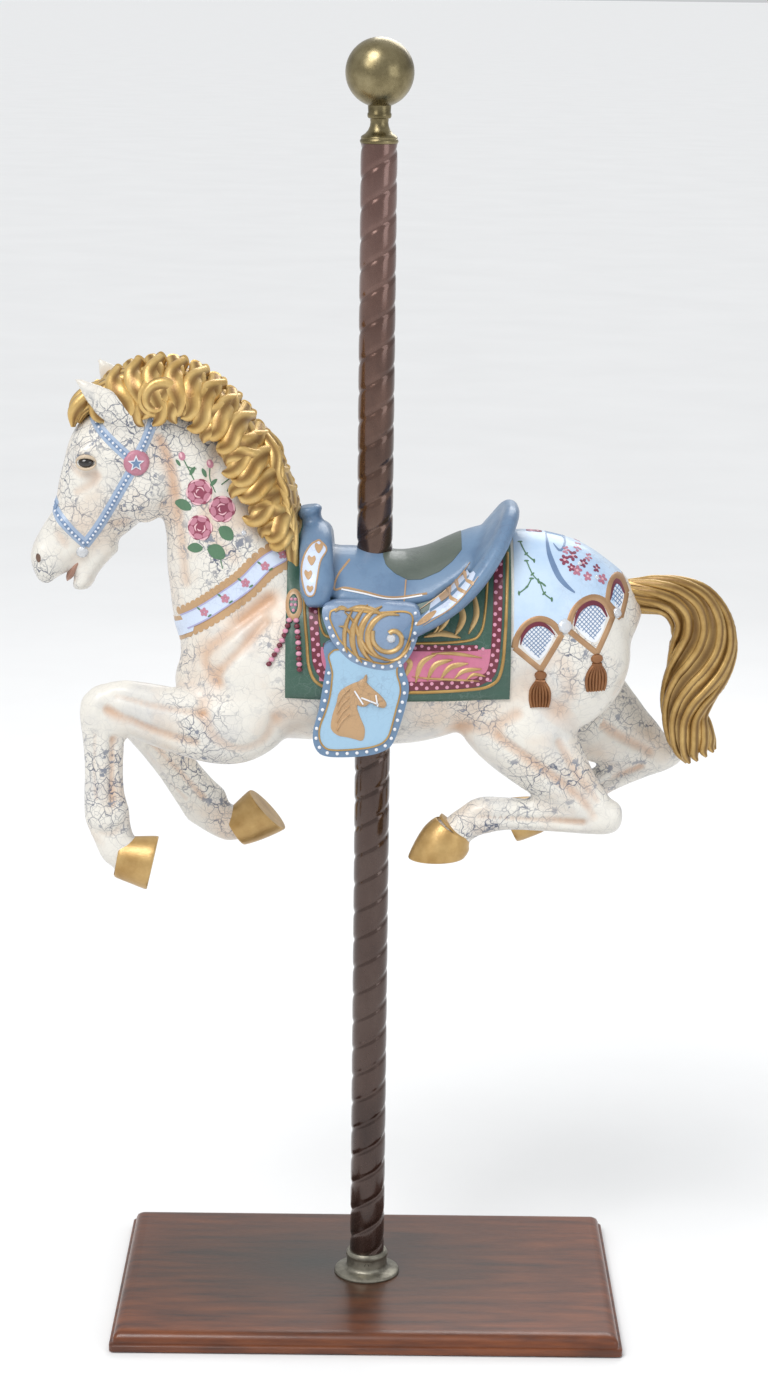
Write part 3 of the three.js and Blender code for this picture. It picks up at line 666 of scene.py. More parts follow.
def hair(name, locks, material):
    """Locks joined into one piece that knows how deep each point lies."""
    points, faces, count, deep = [], [], 0, []
    for p, f, d in locks:
        points.append(p)
        faces += [[i + count for i in face] for face in f]
        deep.append(d)
        count += len(p)
    mesh = bpy.data.meshes.new(name)
    mesh.from_pydata((np.concatenate(points) * MM).tolist(), [], faces)
    tone = mesh.attributes.new("deep", "FLOAT", "POINT")
    tone.data.foreach_set("value", np.concatenate(deep))
    return finished(thing(name, mesh, material), "paint", "horse", angle=60)


gold = gilt("gold_hair", (112, 74, 30), (196, 156, 86), (228, 196, 130))
CREST = [
    (-311, -4, 975, 4, 10), (-304, -3, 990, 9, 18), (-285, -2, 1006, 13, 24), (-258, 0, 1017, 17, 27),
    (-226, 0, 1019, 19, 30), (-190, 0, 1007, 22, 34), (-158, 0, 983, 24, 38), (-134, 0, 946, 26, 41),
    (-113, 0, 910, 28, 44), (-101, 0, 879, 23, 44), (-94, 0, 856, 12, 38),
]
RIDGE = np.array(
    [
        (-296, 1006), (-272, 1026), (-244, 1038), (-214, 1040), (-184, 1031), (-160, 1014), (-140, 994),
        (-121, 968), (-106, 944), (-94, 918), (-86, 892), (-84, 868),
    ],
    float,
)
FALL = np.array(
    [
        (-276, 986), (-258, 984), (-240, 984), (-222, 988), (-206, 988), (-188, 980), (-171, 964),
        (-158, 946), (-148, 924), (-138, 900), (-123, 878), (-107, 858),
    ],
    float,
)
SIDE_OUT = np.array([27, 30, 33, 36, 39, 41, 43, 45, 47, 48, 48, 47], float)
LOCK_COUNT = 30
rng = np.random.default_rng(11)
mane_locks = [lock(CREST, 14, sides=84, per_span=6, depth=0.06, roll=0.3)]
for s in (-1, 1):
    for i in range(LOCK_COUNT):
        t = i / (LOCK_COUNT - 1) * (len(RIDGE) - 1)
        top = between(RIDGE, np.array([t]))[0]
        tip = between(FALL, np.array([min(t + rng.uniform(-0.2, 0.35), len(FALL) - 1.0)]))[0]
        out = float(np.interp(t, range(len(SIDE_OUT)), SIDE_OUT))
        wave = (7 if i % 2 else -6) + rng.uniform(-2, 2)
        down = tip - top
        cross = np.array([-down[1], down[0]]) / np.linalg.norm(down)
        long = 1.0 + (0.16 if i % 3 == 1 else 0.0)
        path = []
        for k, (f, y, w) in enumerate([
            (-0.04, 0.10, 0), (0.16, 0.55, -0.9), (0.40, 0.88, -0.5), (0.66, 1.04, 0.8),
            (0.88, 1.06, 0.9), (1.0, 1.0, 0.1),
        ]):
            x, z = top + down * f * long + cross * w * wave
            thick = (7, 10.5, 12, 11, 8, 2.2)[k]
            path.append((x, s * (out * y + (1.5 if i % 2 else -1.0)), z, thick, thick * 0.62 + 2))
        mane_locks.append(lock(path, 3, sides=24, per_span=5, depth=0.17, roll=0.25))
for y, z, reach in ((-14, 1000, 0), (-4, 1004, 6), (8, 1002, 3), (18, 998, -2)):
    path = [
        (-286, y, z + 10, 7, 7), (-302, y * 1.2, z + 2, 9, 8), (-314, y * 1.3, z - 12, 8, 7),
        (-316, y * 1.2, z - 28 - reach, 2, 2),
    ]
    mane_locks.append(lock(path, 3, sides=22, per_span=6, depth=0.15))
for s in (-1, 1):
    for turn, size in ((0.0, 10), (0.5, 8)):
        swirl = []
        for k in range(9):
            a = 0.6 + turn * 3 + k * 0.62
            r = 21 - 2.1 * k
            swirl.append((
                -224 + r * math.cos(a), s * (36 + 0.9 * k), 1002 + r * math.sin(a), size - 0.9 * k,
                size * 0.7 - 0.4 * k,
            ))
        mane_locks.append(lock(swirl, 3, sides=20, per_span=4, depth=0.16))
for s in (-1, 1):
    for k in range(7):
        high, lean = 962 - 13 * k, 3.0 * k
        tress = [
            (-118 + lean * 1.5, s * (10 + 2.0 * k), high, 8, 8),
            (-106 + lean, s * (24 + 2.0 * k), high - 16, 9, 8),
            (-104 + lean, s * (31 + 1.6 * k), high - 36, 8, 7),
            (-94 + lean * 0.6, s * (34 + 1.4 * k), high - 54, 6.5, 6),
            (-93 + lean * 0.5, s * (35 + 1.2 * k), high - 68, 2, 2),
        ]
        mane_locks.append(lock(tress, 4, sides=24, per_span=6, depth=0.14, roll=0.4))
hair("mane", mane_locks, gold)

TAIL = [
    (252, 0, 797, 16, 17), (284, 0, 796, 19, 20), (312, 0, 796, 21, 22), (338, 0, 782, 30, 25),
    (351, 0, 754, 36, 27), (348, 0, 722, 36, 28), (337, 0, 692, 30, 27), (334, 0, 664, 24, 23),
    (342, 0, 642, 25, 20), (349, 0, 628, 20, 15),
]
tail_locks = [lock(TAIL, 9, sides=108, per_span=10, depth=0.16, roll=0.42)]
for k in range(10):
    a = 2 * math.pi * k / 10
    path = []
    for t in np.linspace(0.2, 9, 14):
        thick = 5.2 * min(1.0, 0.25 + t / 2.2)
        x, y, z, depth, width = between(np.array(TAIL, float), np.array([t]))[0]
        turn = a - 0.42 * t
        ahead, behind = between(np.array(TAIL, float), np.array([min(t + 0.1, 9), t - 0.1]))[:, :3]
        along = (ahead - behind) / np.linalg.norm(ahead - behind)
        up = np.cross(along, (0, 1, 0))
        up /= np.linalg.norm(up)
        aside = np.array([0, 1, 0]) * math.sin(turn) * width * 0.86
        path.append((*(np.array([x, y, z]) + up * math.cos(turn) * depth * 0.86 + aside), thick, thick))
    path.append((*(np.array(path[-1][:3]) + (4, 0, -7)), 1.5, 1.5))
    tail_locks.append(lock(path, 3, sides=18, per_span=4, depth=0.14))
hair("tail", tail_locks, gilt("gold_tail", (92, 62, 26), (164, 128, 70), (206, 172, 108)))

hoof_gold = gilt("hoof_gold", (92, 62, 30), (170, 134, 78), (204, 170, 112), rough=0.4)
hooves = []
for upper, lower, hoof in LEGS:
    wall = [(*row[:3], row[3] + 2.2, row[4] + 2.2, *row[5:]) for row in hoof]
    last, before = np.array(wall[-1][:3]), np.array(wall[-2][:3])
    onward = (last - before) / np.linalg.norm(last - before)
    sole = (*(last + onward * 1.2), wall[-1][3] - 2.5, wall[-1][4] - 2.5, 0, *wall[-1][6:])
    crown = (*(np.array(wall[0][:3]) - onward * 0.8), wall[0][3] - 2.6, wall[0][4] - 2.6)
    hooves.append(loft([crown, *wall, sole], 40, 6))
put("hooves", hooves, hoof_gold, "paint", 40, "horse")

# ---- Eyes, nostrils and mouth -------------------------------------------------------------------------
# Glossy black eyes painted over a moulded eyeball between two lids. Nostrils and mouth are glazed dark,
# and a tongue shows between the lips. All of it is cast with the head.
gloss_black = coat_of("gloss_black", [(10, 8, 8), (26, 20, 18)], 200, 0.12, bump=0.02, gloss=0.8)
lid_tan = crackle_paint(
    "lid_tan", (206, 186, 160), (176, 148, 118), (120, 92, 70), (104, 100, 98), cells=160, cracks=0.4
)
eyes, lids, nostrils = [], [], []
for s in (-1, 1):
    eyes.append(egg_at((-300.5, s * 35.5, 937.5), (8.2, 6.2, 5.6), 28))
    for lift, thick in ((1, 2.2), (-1, 1.7)):
        rim = []
        for a in np.linspace(-0.15, math.pi + 0.15, 9):
            fade = math.sin(max(0.0, min(math.pi, a))) * 0.8 + 0.2
            rim.append((
                -300.5 + 10.2 * math.cos(a), s * (36.5 + 2.6 * math.sin(a)),
                937.5 + lift * 6.6 * math.sin(a), thick * fade, thick * fade,
            ))
        lids.append(loft(rim, 14, 4))
    nostrils.append(egg_at((-352, s * 19.5, 834), (4.0, 3.6, 6.2), 20))
put("eyes", eyes, gloss_black)
put("eyelids", lids, lid_tan)
nostril_dark = coat_of("nostril_glaze", [(92, 70, 58), (120, 92, 76)], 90, 0.5)
put("nostrils", nostrils, nostril_dark)
mouth_pink = coat_of("mouth_glaze", [(150, 112, 96), (182, 142, 124)], 90, 0.4)
tongue = loft(
    [(-296, 0, 846, 4, 14), (-312, 0, 828, 5, 15), (-322, 0, 812, 4, 13), (-325, 0, 806, 1, 6)], 20, 5
)
put("tongue", [tongue], mouth_pink)

# ---- Saddle blanket --------------------------------------------------------------------------------
# Moulded over the back as a cloth about 5 mm thick and painted bottle green. A gold cord runs inside its
# edge, then a burgundy and pink checked band, a rose panel with gold leaf scrolls, and a gold inner cord.


def skin_of(*pieces):
    """The outside of these pieces, in millimetres, to lay trim and paint on."""
    points, faces, count = [], [], 0
    for made in pieces:
        points.append(read(made.data, "co") / MM)
        faces += [[i + count for i in p.vertices] for p in made.data.polygons]
        count += len(made.data.vertices)
    return BVHTree.FromPolygons(np.concatenate(points).tolist(), faces)


def across(skin, x, z, s):
    """Where a line across the horse at x, z meets the skin on side s, and which way the skin faces."""
    if not isinstance(skin, BVHTree):
        return (x, s * skin(z), z), (0, s, 0)
    hit, normal, _, _ = skin.ray_cast(Vector((x, s * 220, z)), Vector((0, -s, 0)))
    if hit is None or hit.y * s < 0:
        hit, normal, _, _ = skin.find_nearest(Vector((x, s * 3, z)))
    return tuple(hit), tuple(normal)


BARREL_AXIS = 745.0


def around_back(skin, x, turn):
    """The same from the side of the barrel (turn 0, near side) over the back to the far side (turn pi)."""
    way = Vector((0, -math.cos(turn), math.sin(turn)))
    hit, normal, _, _ = skin.ray_cast(Vector((x, 0, BARREL_AXIS)) + way * 220, -way)
    return tuple(hit), tuple(normal)


def both_sides(skin, x, z, turns):
    """The two turns around the back at which the skin at x stands at height z, near side first."""
    near = np.interp(z, [around_back(skin, x, a)[0][2] for a in turns], turns)
    return near, math.pi - np.interp(z, [around_back(skin, x, math.pi - a)[0][2] for a in turns], turns)


def sheet(found, height, under=1.5, closed=False):
    """A closed sheet over a grid of found (place, facing) pairs, `height` thick above the skin."""
    place = np.array([[p for p, _ in row] for row in found], float)
    facing = np.array([[n for _, n in row] for row in found], float)
    for _ in range(3):
        padded = np.pad(facing, ((1, 1), (0, 0), (0, 0)), mode="edge")
        facing = (padded[:-2] + padded[1:-1] + padded[2:]) / 3
        padded = np.pad(facing, ((0, 0), (1, 1), (0, 0)), mode="wrap" if closed else "edge")
        facing = (padded[:, :-2] + padded[:, 1:-1] + padded[:, 2:]) / 3
    facing /= np.linalg.norm(facing, axis=2)[..., None]
    rows, cols = place.shape[:2]
    height = np.broadcast_to(np.asarray(height, float), (rows, cols))[..., None]
    points = np.concatenate([
        (place + facing * height).reshape(-1, 3), (place - facing * under).reshape(-1, 3),
    ])
    n, faces = rows * cols, []
    wide = cols if closed else cols - 1
    for i in range(rows - 1):
        for j in range(wide):
            beside = (j + 1) % cols
            a, b = i * cols + j, i * cols + beside
            c, d = (i + 1) * cols + beside, (i + 1) * cols + j
            faces += [[a, b, c, d], [n + d, n + c, n + b, n + a]]
    for j in range(wide):
        k = (j + 1) % cols
        e = (rows - 1) * cols
        faces += [[e + j, e + k, n + e + k, n + e + j]]
        if closed:
            continue
        faces += [[k, j, n + j, n + k]]
    if closed:
        faces += [list(range(cols))[::-1], list(range(n, n + cols))]
    else:
        for i in range(rows - 1):
            a, b = i * cols, (i + 1) * cols
            faces += [
                [a, b, n + b, n + a], [b + cols - 1, a + cols - 1, n + a + cols - 1, n + b + cols - 1],
            ]
    return points, faces


def smooth_line(points, step=2.5):
    """Evenly spaced points on a smooth line through `points`."""
    rows = np.array(points, float)
    fine = between(rows, np.linspace(0, len(rows) - 1, 24 * (len(rows) - 1) + 1))
    run = np.concatenate([[0], np.cumsum(np.linalg.norm(np.diff(fine[:, :2], axis=0), axis=1))])
    at = np.linspace(0, run[-1], max(3, int(run[-1] / step) + 1))
    return np.stack([np.interp(at, run, fine[:, k]) for k in range(fine.shape[1])], -1)


def ribbon(
    skin, points, wide, height, s=-1, cross=3, taper=False, round_top=False, step=2.5, shift=0.0,
):
    """A strap or brush stroke `wide` across along x, z points, laid on side s."""
    line = smooth_line(points, step)
    run = np.gradient(line[:, :2], axis=0)
    run /= np.linalg.norm(run, axis=1)[:, None]
    aside = np.stack([-run[:, 1], run[:, 0]], -1)
    width = np.full(len(line), float(wide))
    if taper:
        width *= np.sin(np.linspace(0.12, math.pi - 0.12, len(line))) ** 0.7
    offsets = np.linspace(-0.5, 0.5, cross)
    grid = line[:, None, :2] + aside[:, None] * (offsets[None, :, None] * width[:, None, None] + shift)
    found = [[across(skin, x, z, s) for x, z in row] for row in grid]
    top = height * (1 - (2 * np.abs(offsets)) ** 2 * 0.85) if round_top else np.full(cross, height)
    return sheet(found, top[None, :], 1.0)


def ring_points(outline, smooth=True, count=48):
    """Evenly spaced points around a closed x, z outline, rounded or with its corners kept."""
    rows = np.array(outline, float)
    if smooth:
        looped = np.concatenate([rows[-2:], rows, rows[:3]])
        t = np.linspace(2, 2 + len(rows), count * 4, endpoint=False)
        fine = between(looped, t)
    else:
        fine = np.concatenate([
            np.linspace(a, b, 40, endpoint=False)
            for a, b in zip(rows, np.roll(rows, -1, 0))
        ])
    loop = np.concatenate([fine, fine[:1]])
    run = np.concatenate([[0], np.cumsum(np.linalg.norm(np.diff(loop, axis=0), axis=1))])
    at = np.linspace(0, run[-1], count, endpoint=False)
    return np.stack([np.interp(at, run, loop[:, k]) for k in (0, 1)], -1)


def plate(
    skin, outline, height, s=-1, smooth=True, rings=None, count=None, dome=0.0, edge=0.0, under=1.0,
):
    """A flat or domed shape with this x, z outline, laid on side s. `edge` rounds the rim off."""
    size = np.ptp(np.array(outline, float), axis=0).max()
    count = count or int(max(12, min(96, size * 2.6)))
    rings = rings or int(max(3, min(22, size / 5)))
    rim = ring_points(outline, smooth, count)
    middle = rim.mean(0)
    parts = np.linspace(0.04, 1, rings) ** (0.8 if edge else 1.0)
    grid = middle + (rim - middle)[None] * parts[:, None, None]
    found = [[across(skin, x, z, s) for x, z in row] for row in grid]
    top = height * (1 - edge * parts**9) + dome * (1 - parts**2)
    return sheet(found, top[:, None], under, closed=True)


def round_outline(x, z, rx, rz=None, count=10):
    """An oval outline."""
    a = np.linspace(0, 2 * math.pi, count, endpoint=False)
    return np.stack([x + rx * np.cos(a), z + (rz or rx) * np.sin(a)], -1)


def bead(skin, x, z, s, lift, radii, sides=12):
    """A small round bead or stud at x, z, its middle `lift` out from the skin."""
    place, facing = (np.array(v) for v in across(skin, x, z, s))
    return egg_at(tuple(place + facing * lift), radii, sides)


def dab(skin, x, z, rx, rz=None, turn=0.0, height=0.4, s=-1):
    """One touch of the brush: an oval pressed flat on the skin."""
    rz = rz or rx
    place, facing = (np.array(v) for v in across(skin, x, z, s))
    level = np.array((1.0, 0, 0)) - facing * facing[0]
    level /= np.linalg.norm(level)
    rise = np.cross(facing, level)
    rise *= math.copysign(1, rise[2])
    found = []
    for share in (0.06, 0.55, 1.0):
        row = []
        for a in np.linspace(0, 2 * math.pi, 12, endpoint=False):
            u = share * (rx * math.cos(a) * math.cos(turn) - rz * math.sin(a) * math.sin(turn))
            v = share * (rx * math.cos(a) * math.sin(turn) + rz * math.sin(a) * math.cos(turn))
            hit, normal, _, _ = skin.find_nearest(Vector(place + level * u + rise * v))
            row.append((tuple(hit), tuple(normal)))
        found.append(row)
    return sheet(found, height, 1.0, closed=True)


BLANKET = {"front": -91, "back": 142, "hem": 701, "thick": 5.0, "rows": 84, "columns": 150}
skin = skin_of(body)
rows = []
for x in np.linspace(BLANKET["front"], BLANKET["back"], BLANKET["rows"]):
    turns = np.radians(np.linspace(-50, 20, 36))
    near, far = both_sides(skin, x, BLANKET["hem"], turns)
    rows.append([around_back(skin, x, a) for a in np.linspace(near, far, BLANKET["columns"])])
row, column = np.arange(BLANKET["rows"]), np.arange(BLANKET["columns"])
brim = np.minimum(row, row[::-1])[:, None] * 2.8
hem = np.minimum(column, column[::-1])[None, :] * 2.6
in_from_edge = np.minimum(brim, hem)
thick = BLANKET["thick"] * np.clip(0.55 + in_from_edge / 9, 0, 1)
green = crackle_paint(
    "blanket_green", (54, 88, 74), (38, 68, 58), (24, 46, 40), (104, 124, 116), cells=90, cracks=0.5
)
blanket = put("blanket", [sheet(rows, thick, 2.0)], green, "paint", 60)
cloth = skin_of(body, blanket)

gold_line = gilt("gold_line", (120, 84, 40), (168, 130, 70), (196, 160, 100), rough=0.45)
burgundy = crackle_paint(
    "burgundy", (108, 34, 52), (84, 24, 42), (60, 18, 30), (130, 90, 96), cells=120, cracks=0.3
)
blush = crackle_paint(
    "blush_flecks", (214, 150, 172), (196, 128, 152), (150, 90, 110), (150, 110, 120), cells=120,
    cracks=0.2,
)
rose_panel = crackle_paint(
    "rose_panel", (200, 116, 144), (180, 94, 124), (140, 70, 100), (150, 110, 120), cells=100,
    cracks=0.4,
)
leaf_gold = gilt("leaf_gold", (120, 88, 50), (176, 142, 92), (206, 174, 122), rough=0.45)
OUTER = [
    (-72, 832), (-72, 795), (-69, 761), (-66, 734), (-56, 718), (-30, 712), (38, 711), (97, 713),
    (121, 717), (132, 731), (136, 773), (138, 850),
]
INNER = [
    (-57, 820), (-57, 794), (-54, 775), (-44, 766), (0, 763), (52, 762), (96, 765), (110, 773),
    (115, 795), (118, 840),
]
cords, band, flecks, panel, leaves = [], [], [], [], []
for s in (-1, 1):
    cords += [
        ribbon(cloth, OUTER, 3.4, 1.6, s, cross=5, round_top=True),
        ribbon(cloth, INNER, 2.8, 1.4, s, cross=5, round_top=True),
    ]
    middle = [
        (
            x + (9 if x < -40 else -9 if x > 110 else 0) * (1 if z > 716 else 0.7),
            z + (7 if z < 722 else 4 if z < 740 else 0),
        )
        for x, z in OUTER
    ]
    band.append(ribbon(cloth, middle, 9.5, 0.5, s, cross=4))
    line = smooth_line(middle, 5.2)
    run = np.gradient(line, axis=0)
    run /= np.linalg.norm(run, axis=1)[:, None]
    for k, (x, z) in enumerate(line):
        for j in (-1, 1):
            if (k + (j > 0)) % 2:
                flecks.append(
                    dab(
                        cloth, x - run[k][1] * j * 2.3, z + run[k][0] * j * 2.3, 1.9, 1.9, height=0.9,
                        s=s,
                    ),
                )
    for k in range(int(170 / 7)):
        flecks.append(dab(cloth, -48 + 7 * k, 757 if k % 2 else 759, 1.7, 1.7, height=0.9, s=s))
    band.append(ribbon(cloth, [(-52, 757.5), (0, 757), (60, 757), (108, 758)], 6, 0.5, s, cross=3))
    panel.append(
        ribbon(
            cloth, [(-55, 739), (-20, 737.5), (30, 737), (80, 737.5), (122, 739.5)], 35, 0.35, s,
            cross=14,
        ),
    )
    for root, bend, tip, wide in (
        ((30, 724), (38, 742), (24, 750), 6), ((44, 722), (50, 742), (66, 752), 6),
        ((56, 724), (64, 740), (82, 746), 6), ((70, 726), (80, 738), (98, 742), 6),
        ((84, 726), (94, 734), (112, 736), 5), ((96, 724), (104, 730), (116, 728), 4),
        ((60, 752), (84, 752), (112, 748), 4), ((-40, 724), (-34, 738), (-44, 750), 5),
        ((40, 728), (60, 726), (110, 723), 3), ((52, 768), (70, 772), (90, 768), 6),
        ((66, 772), (76, 788), (72, 800), 6), ((84, 770), (92, 788), (86, 806), 7),
        ((98, 772), (106, 792), (102, 816), 6), ((60, 770), (66, 778), (60, 786), 4),
    ):
        leaves.append(
            ribbon(cloth, [root, bend, tip], wide, 1.7, s, cross=5, taper=True, round_top=True, step=2)
        )
put("blanket_cords", cords, gold_line)
put("checked_band", band, burgundy)
put("band_flecks", flecks, blush)
put("rose_panel", panel, rose_panel)
put("leaf_scrolls", leaves, leaf_gold)

# ---- Saddle ----------------------------------------------------------------------------------------
# Cast with the horse: a pommel swell with a flat-topped horn, a dished seat and a high rolled cantle,
# sprayed blue, with darker blue painted shade in its creases. The swell has a pale panel with hearts,
# the cantle a barred panel.
seat_rows = []
LOW = np.array(
    [(-64, 822), (-52, 806), (-36, 799), (0, 797), (40, 797), (60, 803), (92, 826), (126, 862)], float
)
for x in np.linspace(-62, 124, 60):
    turns = np.radians(np.linspace(5, 80, 40))
    near, far = both_sides(cloth, x, np.interp(x, LOW[:, 0], LOW[:, 1]), turns)
    seat_rows.append([around_back(cloth, x, a) for a in np.linspace(near, far, 70)])
inward = np.minimum(np.arange(70), np.arange(70)[::-1])[None, :] * 2.6
seat_height = 4.2 * np.clip(0.35 + inward / 7, 0, 1)
seat = sheet(seat_rows, np.broadcast_to(seat_height, (60, 70)), 3.0)
CANTLE = [
    (30, -97, 772, 12, 8), (48, -99, 782, 16, 9), (70, -98, 796, 19, 10), (92, -94, 814, 20, 10.5),
    (112, -84, 836, 18, 10), (129, -66, 861, 14, 9.5), (140, -36, 881, 11, 9), (143, 0, 885, 9.5, 9),
]
cantle_face = np.array((0.83, 0, -0.55))
rim = CANTLE + [(x, -y, z, d, w) for x, y, z, d, w in CANTLE[-2::-1]]
board = [
    (121 - abs(y) * 0.1, y, 860 - y * y * 0.0042, 28, 8)
    for y in (-70, -54, -36, -18, 0, 18, 36, 54, 70)
]
swell = []
for y in (-82, -74, -62, -46, -24, 0, 24, 46, 62, 74, 82):
    end = abs(y) == 82
    swell.append((
        -63 + abs(y) * 0.05, y, 862 - y * y * 0.0085 - (8 if end else 0), 8 if end else 12.5,
        11 if end else 18,
    ))
horn = [
    (-62, 0, 852, 15, 15), (-64, 0, 866, 11, 12), (-67, 0, 876, 11, 12), (-69, 0, 881, 14, 15),
    (-70, 0, 886, 14, 15), (-70.5, 0, 889, 11, 12),
]
# The darkest blue, given fourth, is painted shade for the creases between seat, swell, horn and cantle.
saddle_blue = crackle_paint(
    "saddle_blue", (108, 136, 166), (86, 114, 146), (56, 78, 108), (92, 104, 130), cells=85, cracks=0.45
)
parts = [seat, loft(rim, 36, 8, across=cantle_face), loft(board, 30, 6, across=cantle_face)]
parts += [loft(swell, 36, 6, across=(1, 0, 0)), loft(horn, 36, 6)]
saddle = clay("saddle", parts, 2.0, soften=5, blend=26, material=saddle_blue)
finished(saddle, "paint", angle=60)
dressed = skin_of(body, blanket, saddle)

seat_patch = crackle_paint(
    "seat_patch", (88, 98, 90), (70, 82, 76), (48, 54, 50), (70, 74, 70), cells=120, cracks=0.5
)
pale_blue = crackle_paint(
    "pale_blue", (206, 218, 238), (186, 202, 228), (140, 156, 190), (140, 150, 170), cells=120,
    cracks=0.4,
)
tan = crackle_paint(
    "tan_paint", (188, 152, 112), (168, 128, 88), (120, 88, 60), (120, 100, 80), cells=120, cracks=0.5
)
white = crackle_paint(
    "white_lines", (232, 234, 238), (214, 218, 226), (170, 176, 190), (140, 150, 170), cells=120,
    cracks=0.2,
)
PANEL = [
    (-58, 860), (-66, 856), (-73, 845), (-75, 830), (-70, 811), (-62, 811), (-59, 826), (-56, 842),
    (-50, 852),
]
panels, tans, lines = [], [], []
for s in (-1, 1):
    panels.append(plate(dressed, PANEL, 0.45, s, rings=6, count=40))
    tans.append(ribbon(dressed, PANEL + PANEL[:1], 1.5, 0.7, s))
    for x, z, r in ((-58, 854, 4.6), (-65, 843, 4.6), (-68, 830, 4.4), (-66, 817, 3.6)):
        heart = [
            (x, z - r * 1.15), (x - r * 0.9, z + r * 0.05), (x - r * 0.62, z + r * 0.8),
            (x, z + r * 0.42), (x + r * 0.62, z + r * 0.8), (x + r * 0.9, z + r * 0.05),
        ]
        tans.append(plate(dressed, heart, 0.95, s, rings=3, count=24))
    piping = [
        (-26, 838), (-38, 825), (-41, 813), (-30, 814), (-12, 811), (11, 806), (29, 806), (55, 810),
    ]
    tans.append(ribbon(dressed, piping, 2.0, 0.8, s, round_top=True))
    lines.append(
        ribbon(dressed, [(-34, 812.5), (-12, 809), (11, 804.5), (29, 804.5), (50, 808)], 1.3, 0.8, s)
    )
    tans.append(ribbon(dressed, [(33, 821), (31, 800)], 1.4, 0.7, s))
    bars = [(48, 789), (60, 797), (76, 808), (90, 822), (103, 838)]
    panels.append(ribbon(dressed, bars, 9, 0.5, s, cross=5, taper=True))
    tans.append(ribbon(dressed, bars, 1.3, 0.8, s, shift=4.6, taper=True))
    tans.append(ribbon(dressed, bars, 1.3, 0.8, s, shift=-4.6, taper=True))
    tans.append(ribbon(dressed, [(44, 785), (54, 792), (64, 800)], 5, 0.9, s, taper=True))
    for k in range(3):
        x, z = 80 + 8.5 * k, 812.5 + 8.4 * k
        tans.append(ribbon(dressed, [(x - 5, z + 2), (x + 5, z - 1)], 3.2, 0.9, s))
low_edge = np.array(
    [(8, 842), (12, 833), (22, 826), (35, 821), (49, 822), (68, 830), (81, 840), (92, 852)], float
)
rows = []
for x in np.linspace(9, 91, 36):
    turns = np.radians(np.linspace(30, 86, 50))
    edge = np.interp(x, low_edge[:, 0], low_edge[:, 1])
    near = np.interp(edge, [around_back(dressed, x, a)[0][2] for a in turns], turns)
    rows.append([around_back(dressed, x, a) for a in np.linspace(near, math.pi - near, 70)])
put("seat_patch", [sheet(rows, 0.5, 1.2)], seat_patch, "paint", 60)
put("swell_panels", panels, pale_blue)

# ---- Skirt and fender ------------------------------------------------------------------------------
# A round leather-like skirt with a gilt scroll in relief, and a fender hanging from under it, both edged
# with a row of white studs. The fender carries a generic horse's head in low relief.
SKIRT = [
    (-52, 800), (-46, 772), (-35, 756), (-20, 743), (4, 736), (22, 737), (37, 750), (46, 774),
    (46, 798), (20, 803), (-20, 804),
]
FENDER = [
    (-45, 764), (-49, 737), (-56, 692), (-62, 666), (-58, 649), (-45, 642), (-10, 643), (12, 649),
    (23, 661), (34, 697), (37, 719), (31, 740), (30, 764),
]
fender_blue = crackle_paint(
    "fender_blue", (106, 134, 164), (84, 112, 144), (58, 80, 110), (92, 104, 130), cells=95, cracks=0.4
)
sky = crackle_paint(
    "sky_blue", (158, 192, 216), (140, 176, 204), (110, 146, 190), (120, 134, 160), cells=95,
    cracks=0.35,
)
skirt_blue = crackle_paint(
    "skirt_blue", (128, 150, 178), (106, 130, 162), (68, 88, 118), (92, 104, 130), cells=95, cracks=0.4
)


def inset_ring(outline, inset, count):
    """The outline drawn in towards its middle by `inset`."""
    rim = ring_points(outline, True, count)
    middle = rim.mean(0)
    reach = np.linalg.norm(rim - middle, axis=1)[:, None]
    return middle + (rim - middle) * (1 - inset / reach)


VOLUTES = [(24, 70, 268, 6.5), (32, 108, 238, 7), (40, 128, 222, 6.5), (48, 146, 200, 5)]
SCROLL_EYE = (18, 771)
SKIRT_OUT, LEANS_ABOVE, LEAN = 101.5, 768, 0.0062
FENDER_OUT = 97.5


def volute(r, start, end):
    """An arc of the gilt scroll, r out from its eye, between two angles in degrees."""
    turns = np.radians(np.linspace(start, end, 7))
    return [(SCROLL_EYE[0] + r * math.cos(a), SCROLL_EYE[1] + r * math.sin(a)) for a in turns]


def skirt_face(z):
    """How far out the skirt's back lies at height z: it leans in towards the saddle near its top."""
    return SKIRT_OUT - LEAN * max(0, z - LEANS_ABOVE) ** 2


